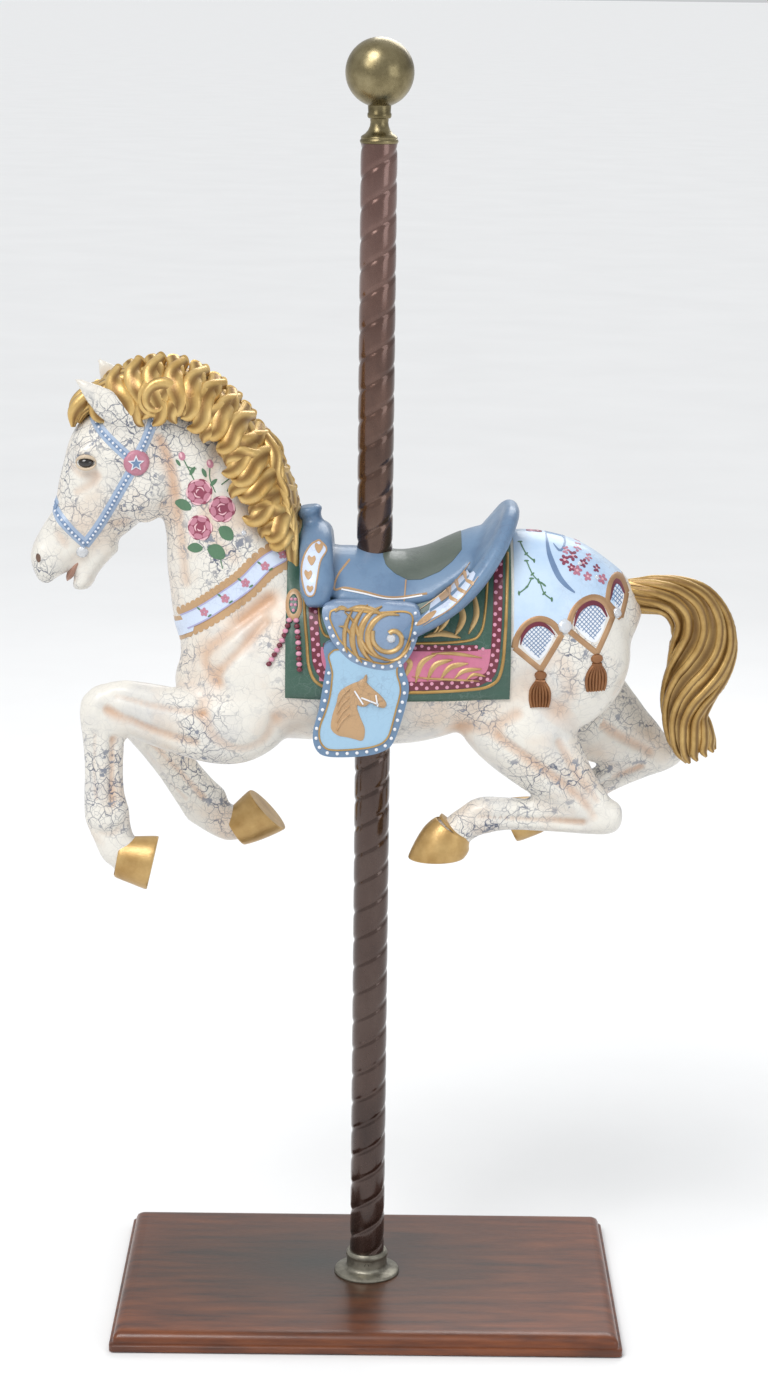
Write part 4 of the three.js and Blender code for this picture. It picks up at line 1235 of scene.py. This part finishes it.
skirts = [
    plate(skirt_face, SKIRT, 4.5, s, rings=18, count=110, dome=2.6, edge=0.35, under=20)
    for s in (-1, 1)
]
skirt = put("skirts", skirts, skirt_blue, "paint", 50)
fenders = [
    plate(lambda z: FENDER_OUT, FENDER, 6.5, s, rings=16, count=110, edge=0.35, under=9)
    for s in (-1, 1)
]
fender = put("fenders", fenders, fender_blue, "paint", 50)
leather = skin_of(body, blanket, saddle, skirt, fender)
panelled = skin_of(body, blanket, fender)
fields, studs, scrolls, rims, heads = [], [], [], [], []
for s in (-1, 1):
    fields.append(plate(panelled, inset_ring(FENDER, 9, 40), 0.5, s, rings=14, count=72))
    inner = inset_ring(FENDER, 9, 40)
    rims.append(ribbon(panelled, np.concatenate([inner, inner[:1]]), 1.6, 1.1, s))
    inner = inset_ring(SKIRT, 8.5, 40)
    rims.append(ribbon(leather, np.concatenate([inner, inner[:1]]), 1.6, 1.1, s))
    for outline, inset, count in ((SKIRT, 4.4, 28), (FENDER, 4.6, 36)):
        for x, z in inset_ring(outline, inset, count):
            if outline is FENDER and z > 742 or outline is SKIRT and z > 796:
                continue
            studs.append(bead(leather, x, z, s, 0.2, (1.9, 1.3, 1.9)))
    spiral = []
    for k in range(11):
        a, r = 2.0 - 0.55 * k, 5 + 1.55 * k
        spiral.append((SCROLL_EYE[0] + r * math.cos(a), SCROLL_EYE[1] + r * math.sin(a)))
    scrolls.append(ribbon(leather, spiral, 5.2, 2.6, s, cross=5, round_top=True, step=1.6))
    for wide, arc in (
        *[(wide, volute(r, start, end)) for r, start, end, wide in VOLUTES],
        (5, [(-30, 796), (-20, 786), (-14, 770), (-4, 755), (12, 747)]),
        (6, [(-30, 797), (-14, 800), (2, 797), (10, 792)]), (4, [(-40, 796), (-34, 800), (-26, 798)]),
        (4, [(12, 747), (24, 748), (34, 757), (38, 768)]), (3.4, [(-36, 782), (-28, 780), (-22, 770)]),
    ):
        scrolls.append(
            ribbon(leather, arc, wide, 2.6, s, cross=5, taper=True, round_top=True, step=1.6)
        )
    neck = [
        (-12, 724), (-33, 714), (-38, 699), (-42, 686), (-43, 673), (-36, 666), (-26, 664), (-18, 662),
        (-10, 661), (-8, 673), (-13, 686), (-16, 698), (-8, 712),
    ]
    skull = [
        (-9, 727), (-16, 722), (-20, 710), (-16, 699), (-8, 697), (-2, 701), (5, 697), (12, 696),
        (14, 701), (8, 709), (0, 716), (-6, 722),
    ]
    heads += [
        plate(leather, neck, 2.2, s, rings=9, count=60, edge=0.6),
        plate(leather, skull, 3.2, s, rings=8, count=54, edge=0.6),
    ]
    heads.append(
        ribbon(
            leather, [(-10, 718), (-8, 726), (-7, 731)], 4.5, 3.6, s, taper=True, round_top=True,
            cross=5, step=1.5,
        ),
    )
    heads += [
        ribbon(
            leather, [(-24, 716 - 9 * k), (-32, 708 - 9 * k), (-37, 698 - 9 * k)], 5, 3.4, s,
            taper=True, round_top=True, cross=5, step=1.5,
        )
        for k in range(4)
    ]
    for a, b in (((-19, 714), (-10, 700)), ((-12, 707), (6, 700)), ((3, 710), (5, 698))):
        lines.append(ribbon(leather, [a, b], 1.5, 4.2, s))
put("fender_fields", fields, sky)
put("scrolls", scrolls, leaf_gold)
put("fender_rims", rims, gold_line)
put("fender_studs", studs, white)
put("fender_heads", heads, tan)
put("tan_lines", tans, tan)
put("white_lines", lines, white)

# ---- Bridle ----------------------------------------------------------------------------------------
# Moulded straps painted blue-grey with a pale edge and a row of white dots: browband, crown, cheek piece
# and noseband, joined at a pink rosette with a star.
strap_edge = crackle_paint(
    "strap_edge", (160, 178, 202), (138, 158, 186), (110, 126, 156), (110, 120, 140), cells=120,
    cracks=0.3,
)
strap_blue = crackle_paint(
    "strap_blue", (112, 138, 172), (92, 118, 156), (80, 96, 130), (92, 104, 130), cells=120, cracks=0.3
)
dusty_rose = crackle_paint(
    "dusty_rose", (192, 128, 146), (170, 104, 124), (126, 74, 92), (140, 100, 110), cells=140,
    cracks=0.4,
)
BRIDLE = [
    [(-299, 990), (-286, 972), (-272, 958), (-256, 944)],
    [(-228, 1003), (-231, 982), (-238, 962), (-246, 946)],
    [(-251, 933), (-262, 914), (-274, 893), (-288, 870), (-304, 848)],
    [(-345, 893), (-338, 886), (-326, 873), (-314, 860), (-302, 848)],
]
ROSETTE = (-248, 938)


def star(x, z, outer, inner):
    """A five-pointed star's outline, point up."""
    reach = [outer, inner] * 5
    return [
        (x + r * math.sin(k * math.pi / 5), z + r * math.cos(k * math.pi / 5))
        for k, r in enumerate(reach)
    ]


edges, straps, dots, rosettes, star_white, star_blue = [], [], [], [], [], []
for s in (-1, 1):
    for line in BRIDLE:
        edges.append(ribbon(skin, line, 10.5, 1.5, s, cross=7, round_top=True))
        straps.append(ribbon(skin, line, 6.4, 2.0, s, cross=5, round_top=True))
        for x, z in smooth_line(line, 5.0)[:-1]:
            dots.append(bead(skin, x, z, s, 1.7, (1.5, 1.2, 1.5), 10))
    rosettes.append(
        plate(
            skin, round_outline(*ROSETTE, 13.2, count=16), 3.4, s, rings=8, count=48, dome=1.2, edge=0.7
        ),
    )


def from_front(skin, middle, half_span, dip, wide, height, cross=7, round_top=True):
    """A strip across the front of the horse, from side to side, `dip` lower in the middle of its run."""
    found = []
    for y in np.linspace(-half_span, half_span, 25):
        row = []
        for k in np.linspace(0.5, -0.5, cross):
            z = middle + dip * (y / half_span) ** 2 + k * wide
            hit, normal, _, _ = skin.ray_cast(Vector((-420, y, z)), Vector((1, 0, 0)))
            row.append((tuple(hit), tuple(normal)))
        found.append(row)
    offsets = np.linspace(-0.5, 0.5, cross)
    top = height * (1 - (2 * np.abs(offsets)) ** 2 * 0.85) if round_top else np.full(cross, height)
    return sheet(found, top[None, :], 1.0)


edges.append(from_front(skin, 891, 13, -5, 12, 1.5))
straps.append(from_front(skin, 891, 13, -5, 7.5, 2.0, cross=5))
crown = skin_of(body, put("rosettes", rosettes, dusty_rose))
for s in (-1, 1):
    star_white.append(plate(crown, star(*ROSETTE, 8.8, 3.9), 0.8, s, smooth=False, rings=4, count=60))
    star_blue.append(plate(crown, star(*ROSETTE, 6.0, 2.6), 1.3, s, smooth=False, rings=4, count=60))
put("bridle_edges", edges, strap_edge)
put("bridle_straps", straps + star_blue, strap_blue)
put("bridle_dots", dots + star_white, white)

# ---- Breast strap ----------------------------------------------------------------------------------
# A pale blue band painted on the casting across both shoulders, edged with mauve, with gold-tan lace
# and five pink flowers on each side.
leaf_green = crackle_paint(
    "leaf_green", (84, 122, 92), (58, 94, 70), (48, 78, 60), (70, 90, 80), cells=140, cracks=0.3
)
lavender = crackle_paint(
    "lavender", (170, 168, 204), (146, 146, 188), (110, 104, 140), (110, 110, 130), cells=140,
    cracks=0.3,
)
STRAP = [(-88, 851), (-96, 845), (-114, 835), (-134, 815), (-155, 799), (-177, 783), (-199, 769)]
lace, bands, hems, blooms, sprigs = [], [], [], [], []
for s in (-1, 1):
    lace.append(ribbon(skin, STRAP, 25, 0.5, s, cross=9))
    bands.append(ribbon(skin, STRAP, 16, 1.0, s, cross=7))
    hems += [ribbon(skin, STRAP, 1.5, 1.3, s, shift=k) for k in (-7.6, 7.6)]
    line = smooth_line(STRAP, 6.6)
    run = np.gradient(line, axis=0)
    run /= np.linalg.norm(run, axis=1)[:, None]
    for (x, z), (u, v) in zip(line, run):
        lace += [dab(skin, x - v * k, z + u * k, 4.2, 4.2, height=0.45, s=s) for k in (-12.5, 12.5)]
    for x, z in ((-96, 844), (-114, 833), (-134, 816), (-155, 799), (-177, 783)):
        blooms += [
            dab(skin, x + 2.7 * math.cos(a), z + 2.7 * math.sin(a), 2.2, 1.8, a, 1.5, s)
            for a in np.linspace(0.3, 6.6, 6)[:5]
        ]
        sprigs += [dab(skin, x + 6 * k, z - 3.2 * k, 2.6, 1.0, 0.6 * k, 1.4, s) for k in (-1, 1)]

lace.append(from_front(skin, 757, 41, 12, 25, 0.5, cross=9, round_top=False))
bands.append(from_front(skin, 757, 41, 12, 16, 1.0, round_top=False))

# ---- Roses -----------------------------------------------------------------------------------------
# Painted by hand in thin strokes on the near side of the neck, straight on the cream ground: three open
# roses, two buds on stems and a few leaves.
wine = crackle_paint(
    "wine_rose", (144, 66, 88), (120, 50, 74), (100, 44, 60), (150, 110, 120), cells=120, cracks=0.3
)
shell_pink = crackle_paint(
    "shell_pink", (232, 188, 196), (216, 164, 176), (180, 120, 136), (150, 110, 120), cells=120,
    cracks=0.3,
)
LEAVES = [
    (-200, 893, 9, 5.5, -0.3), (-155, 866, 9, 6.5, -0.7), (-187, 849, 8, 4.8, 0.1),
    (-165, 846, 10, 7, -0.5), (-190, 930, 5, 2, 1.0), (-178, 928, 5, 2, 2.0), (-168, 918, 5, 2, 0.8),
    (-205, 938, 4, 1.6, 2.2), (-150, 912, 5, 2, 0.6),
]
STEMS = [
    [(-200, 943), (-192, 928), (-186, 916)], [(-172, 934), (-172, 922), (-166, 908)],
    [(-165, 852), (-160, 838), (-158, 830)], [(-186, 932), (-196, 934)], [(-160, 916), (-152, 922)],
]
dark_petals, mid_petals, light_petals = [], [], []
s = -1
for x, z, r, twist in ((-183, 908, 15, 0.2), (-159, 891, 15, 1.0), (-182, 871, 14.5, 2.1)):
    for k in range(6):
        a = twist + k * math.pi / 3
        u, v = 0.58 * r * math.cos(a), 0.58 * r * math.sin(a)
        dark_petals.append(dab(skin, x + u, z + v, 0.46 * r, 0.36 * r, a + 1.57, 0.4, s))
        u, v = 0.62 * r * math.cos(a + 0.3), 0.62 * r * math.sin(a + 0.3)
        mid_petals.append(dab(skin, x + u, z + v, 0.34 * r, 0.2 * r, a + 1.9, 0.6, s))
    for k in range(5):
        a = twist + 0.5 + k * 1.257
        edge = [
            (x + 0.85 * r * math.cos(a + d), z + 0.85 * r * math.sin(a + d))
            for d in (-0.4, 0, 0.4)
        ]
        light_petals.append(ribbon(skin, edge, 1.9, 0.8, s, taper=True, step=1.5))
    dark_petals.append(dab(skin, x, z, 0.42 * r, 0.42 * r, height=0.65, s=s))
    for q, a in ((0.36 * r, twist), (0.36 * r, twist + 3), (0.2 * r, twist + 1.4)):
        curl = [(x + q * math.cos(a + d), z + q * math.sin(a + d)) for d in (0, 0.9, 1.8)]
        light_petals.append(ribbon(skin, curl, 1.6, 0.95, s, taper=True, step=1.2))
for x, z in ((-201, 945), (-172, 937)):
    mid_petals.append(dab(skin, x, z, 3.6, 4.6, 0.3, 0.45, s))
    light_petals.append(dab(skin, x - 1, z + 1, 1.4, 2.6, 0.3, 0.7, s))
for x, z, rx, rz, a in LEAVES:
    tip = (x + rx * math.cos(a), z + rx * math.sin(a))
    stalk = (x - rx * math.cos(a), z - rx * math.sin(a))
    sprigs.append(
        ribbon(skin, [stalk, (x, z + 0.2 * rz), tip], 2.1 * rz, 0.4, s, taper=True, step=1.5, cross=5)
    )
for line in STEMS:
    sprigs.append(ribbon(skin, line, 1.1, 0.4, s, step=2))

# ---- Rump drape, festoons and painted tassels ------------------------------------------------------
# A sky-blue drape painted over the croup, its lower edge looped up in gold-brown festoons lined with
# burgundy over a white lattice, with a painted tassel under each point and small flowers above.
drape_blue = crackle_paint(
    "drape_blue", (196, 216, 236), (176, 202, 230), (150, 170, 200), (150, 156, 170), cells=80,
    cracks=0.5,
)
rope_tan = gilt("rope_tan", (124, 90, 62), (160, 122, 88), (184, 148, 112), rough=0.5)
tassel_brown = gilt("tassel_brown", (92, 58, 34), (132, 86, 54), (160, 114, 76), rough=0.5)
lower = np.array(
    [
        (145, 764), (158, 779), (171, 786), (184, 782), (196, 772), (203, 786), (216, 799), (229, 804),
        (240, 800), (249, 790), (256, 806), (262, 812),
    ],
    float,
)
rows = []
for x in np.linspace(145, 261, 46):
    turns = np.radians(np.linspace(-6, 84, 50))
    near, far = both_sides(skin, x, np.interp(x, lower[:, 0], lower[:, 1]), turns)
    rows.append([around_back(skin, x, a) for a in np.linspace(near, far, 90)])
put("rump_drape", [sheet(rows, 0.4, 1.2)], drape_blue, "paint", 60)
ropes, linings, lattice, net, knots, swirl = [], [], [], [], [], []


def within(outline, x, z):
    """True if x, z lies inside the outline."""
    crossings = 0
    for (x0, z0), (x1, z1) in zip(outline, outline[1:] + outline[:1]):
        if (z0 > z) != (z1 > z) and x < x0 + (z - z0) * (x1 - x0) / (z1 - z0):
            crossings += 1
    return crossings % 2 == 1


LOOPS = [
    ([(146, 757), (149, 770), (158, 782), (171, 787), (184, 783), (195, 771)], (174, 733)),
    ([(201, 776), (206, 793), (216, 803), (229, 806), (241, 800), (249, 786)], (232, 751)),
    ([(243, 800), (246, 815), (252, 822), (260, 818), (265, 805)], (258, 783)),
]
for s in (-1, 1):
    for arch, point in LOOPS:
        ropes.append(ribbon(skin, arch, 7, 1.3, s, cross=7, round_top=True))
        ropes += [
            ribbon(skin, [arch[0], point], 6, 1.3, s, cross=7, round_top=True),
            ribbon(skin, [arch[-1], point], 6, 1.3, s, cross=7, round_top=True),
        ]
        middle = np.mean(arch + [point], axis=0)
        inner = [tuple(middle + (np.array(p) - middle) * 0.72) for p in arch]
        linings.append(ribbon(skin, inner, 4.5, 0.9, s, cross=4, taper=True))
        lattice.append(
            plate(
                skin, [tuple(middle + (np.array(p) - middle) * 0.7) for p in arch + [point]], 0.35, s,
                rings=6, count=36,
            ),
        )
        shape = [tuple(middle + (np.array(p) - middle) * 0.68) for p in arch + [point]]
        for k in range(-6, 7):
            for u in (-1, 1):
                line = [(middle[0] + 4.6 * k + q * u, middle[1] + q) for q in np.linspace(-30, 30, 41)]
                held = [p for p in line if within(shape, *p)]
                if len(held) > 3:
                    net.append(ribbon(skin, [held[0], held[-1]], 0.8, 0.6, s))
    for x, z in ((174, 727), (232, 745)):
        knots.append(plate(skin, round_outline(x, z, 6.4, 5.2), 2.8, s, rings=5, count=28, edge=0.8))
        knots.append(ribbon(skin, [(x - 5, z - 6), (x + 5, z - 6)], 4, 2.6, s, cross=5, round_top=True))
        for k in range(-3, 4):
            knots.append(
                ribbon(
                    skin,
                    [
                        (x + 1.0 * k, z - 6), (x + 3.0 * k, z - 16), (x + 3.3 * k, z - 27),
                        (x + 2.7 * k, z - 35),
                    ],
                    3.6, 2.7, s, cross=5, round_top=True,
                ),
            )
    swirl.append(
        ribbon(
            skin, [(180, 863), (182, 848), (190, 830), (198, 820), (208, 812)], 5.5, 0.8, s, taper=True
        ),
    )
    swirl.append(
        ribbon(
            skin, [(180, 863), (192, 866), (200, 858), (194, 850), (187, 856)], 2.5, 0.8, s, taper=True
        ),
    )
    for k, (x, z) in enumerate((
        (165, 872), (172, 868), (200, 850), (207, 845), (213, 851), (205, 835), (211, 832), (218, 838),
        (224, 842), (198, 842), (222, 826), (232, 832), (238, 822),
    )):
        r = 4.8 - 0.5 * (k % 3)
        petals = dark_petals if k % 2 else mid_petals
        petals += [
            dab(
                skin, x + r * math.cos(a) * 0.6, z + r * math.sin(a) * 0.6, r * 0.56, r * 0.4, a, 0.8, s
            )
            for a in np.linspace(0.4 + k, 6.7 + k, 6)[:5]
        ]
        light_petals.append(dab(skin, x, z, r * 0.32, r * 0.32, height=1.1, s=s))
    for line in (
        [(158, 842), (164, 830), (170, 824), (176, 820)], [(152, 858), (158, 848), (166, 842)],
        [(163, 826), (158, 818), (150, 812)], [(172, 822), (176, 812), (184, 806)],
    ):
        sprigs.append(ribbon(skin, line, 1.2, 0.8, s, step=2))
        sprigs += [dab(skin, x, z, 2.6, 1.1, 0.8 * k, 0.8, s) for k, (x, z) in enumerate(line)]
put("strap_lace", lace, tan)
put("strap_bands", bands, pale_blue)
put("strap_hems", hems, lavender)
put("flower_petals", blooms + mid_petals, dusty_rose)
put("dark_petals", dark_petals, wine)
put("light_petals", light_petals, shell_pink)
put("leaves_and_stems", sprigs, leaf_green)
put("festoons", ropes, rope_tan)
put("festoon_linings", linings, burgundy)
put("festoon_lattice", lattice, white)
put("lattice_lines", net + swirl, strap_blue)
put("rump_tassels", knots, tassel_brown)

# ---- Medallion and beaded cords --------------------------------------------------------------------
# An oval boss on the blanket by the pommel with a jewel-pink middle, and two hanging cords of beads.
# Cast with the blanket and painted.
bosses, hearts, pinks, wines = [], [], [], []
for s in (-1, 1):
    bosses.append(
        plate(cloth, round_outline(-83, 796, 8.6, 15, count=14), 2.6, s, rings=6, count=40, edge=0.6)
    )
    hearts.append(
        plate(cloth, round_outline(-83, 796, 5.4, 11, count=14), 3.2, s, rings=5, count=32, edge=0.6)
    )
    for x, z in ((-85, 800), (-81, 800), (-85, 795), (-81, 795), (-83, 790)):
        pinks.append(bead(cloth, x, z, s, 3.2, (1.9, 1.6, 1.9)))
    for line in (
        [(-87, 781), (-92, 766), (-100, 750), (-108, 736)],
        [(-80, 781), (-78, 764), (-77, 748), (-76, 733)],
    ):
        for k, (x, z) in enumerate(smooth_line(line, 5.2)):
            (wines if k % 2 else pinks).append(bead(cloth, x, z, s, 1.8, (3.1, 2.8, 2.7), 14))
put("medallions", bosses, tan)
put("medallion_middles", hearts, green)
put("pink_beads", pinks, blush)
put("wine_beads", wines, burgundy)

# ---- Cut stones ------------------------------------------------------------------------------------
# Flat-backed clear glass stones on silver foil, glued into shallow pockets over the paint: one at the
# bit, one on the skirt, two on the rump, two in the bouquet and one at the breast, on both sides.
# The glass is near-white and only 40% see-through, so it shows white: painted sparkle standing in for light
# thrown back by the foil behind it.
crystal = coat_of("cut_glass", [(236, 242, 250), (250, 252, 255)], 40, 0.08, bump=0.02)
glass = crystal.node_tree.nodes["Principled BSDF"]
glass.inputs["Transmission Weight"].default_value = 0.4
glass.inputs["IOR"].default_value = 1.6
foil = coat_of("silver_foil", [(232, 236, 244), (250, 252, 255)], 60, 0.3, metal=0.35)
STONES = {
    "bit": (-307, 840, 7), "skirt": (18, 770, 4.8), "rump_large": (198, 779, 8.4),
    "rump_dock": (254, 789, 5.8), "bouquet_low": (232, 824, 3), "bouquet_mid": (214, 838, 3),
    "breast": (-136, 867, 3),
}
foils = []
trim = skin_of(body, skirt, bpy.data.objects["scrolls"], bpy.data.objects["festoons"])
for name, (x, z, r) in STONES.items():
    for s, hand in ((-1, "left"), (1, "right")):
        place, facing = (np.array(v) for v in across(trim, x, z, s))
        facing /= np.linalg.norm(facing)
        level = np.cross(facing, (0, 0, 1))
        level /= np.linalg.norm(level)
        rise = np.cross(level, facing)
        rings = []
        for share, up, turn in (
            (0.02, -0.1, 0), (0.92, -0.1, 0), (1.0, 0.02, 0), (0.82, 0.3, 0.5), (0.5, 0.46, 0),
            (0.02, 0.46, 0),
        ):
            a = (np.arange(8) + turn) * math.pi / 4
            outward = np.cos(a)[:, None] * level + np.sin(a)[:, None] * rise
            rings.append(place + facing * up * r + share * r * outward)
        piece(
            f"stone_{name}_{hand}", np.concatenate(rings), skin_faces(len(rings), 8), crystal,
            "crystal", f"jewel_{name}_{hand}", angle=5,
        )
        a = np.arange(24) * math.pi / 12
        outward = np.cos(a)[:, None] * level + np.sin(a)[:, None] * rise
        disc = []
        for share, up in ((0.02, -0.45), (0.99, -0.45), (0.99, -0.14), (0.02, -0.14)):
            disc.append(place + facing * up * r + share * r * outward)
        foils.append((np.concatenate(disc), skin_faces(4, 24)))
put("stone_foils", foils, foil, "steel")

# ---- Floor, lights and camera --------------------------------------------------------------------
# A plain pale floor, a soft key lamp from the upper left, a fill from the right, a rim lamp from behind
# and weak daylight. The camera stands a little above the horse.
bpy.ops.mesh.primitive_plane_add(size=400, location=(0, 190, -0.001))
floor = bpy.context.object
floor.name = "floor"
floor.data.materials.append(coat_of("pale_floor", [(236, 236, 236), (240, 240, 240)], 2, 0.9, bump=0.0))
floor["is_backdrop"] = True
world = bpy.data.worlds.new("studio")
bpy.context.scene.world = world
world.use_nodes = True
world.node_tree.nodes["Background"].inputs["Color"].default_value = (0.96, 0.98, 1.0, 1)
world.node_tree.nodes["Background"].inputs["Strength"].default_value = 0.6


def lamp(name, place, aim, size, watts, colour=(1, 1, 1)):
    """A square soft lamp that faces `aim`."""
    light = bpy.data.lights.new(name, "AREA")
    light.energy = watts
    light.size = size
    light.color = colour
    made = bpy.data.objects.new(name, light)
    made.location = place
    made.rotation_euler = (Vector(aim) - Vector(place)).to_track_quat("-Z", "Y").to_euler()
    bpy.context.scene.collection.objects.link(made)


lamp("key", (-1.9, -2.4, 3.0), (0, 0, 0.8), 1.6, 26, (1.0, 0.98, 0.95))
sun = bpy.data.lights.new("daylight", "SUN")
sun.energy = 1.5
sun.angle = math.radians(30)
daylight = bpy.data.objects.new("daylight", sun)
daylight.rotation_euler = Vector((0.35, 0.5, -0.9)).to_track_quat("-Z", "Y").to_euler()
bpy.context.scene.collection.objects.link(daylight)
lamp("fill", (2.4, -2.2, 1.6), (0, 0, 0.8), 1.8, 16, (0.94, 0.97, 1.0))
lamp("rim", (0.6, 2.4, 2.6), (0, 0, 0.9), 1.6, 26)

PITCH, ROLL, YAW = 0.2350, 0.0120, 0.003
forward = Vector((math.sin(YAW) * math.cos(PITCH), math.cos(YAW) * math.cos(PITCH), -math.sin(PITCH)))
level = Vector((math.cos(YAW), -math.sin(YAW), 0))
upright = level.cross(forward)
right = math.cos(ROLL) * level + math.sin(ROLL) * upright
top = math.cos(ROLL) * upright - math.sin(ROLL) * level
camera = bpy.data.objects.new("camera", bpy.data.cameras.new("camera"))
camera.data.lens = 76.6
camera.data.sensor_width = 36
turned_to = Matrix((right, top, -forward)).transposed().to_4x4()
camera.matrix_world = Matrix.Translation((0.0025, -3.083, 1.421)) @ turned_to
bpy.context.scene.collection.objects.link(camera)
bpy.context.scene.camera = camera
bpy.context.scene.view_settings.view_transform = "Standard"

low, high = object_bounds()
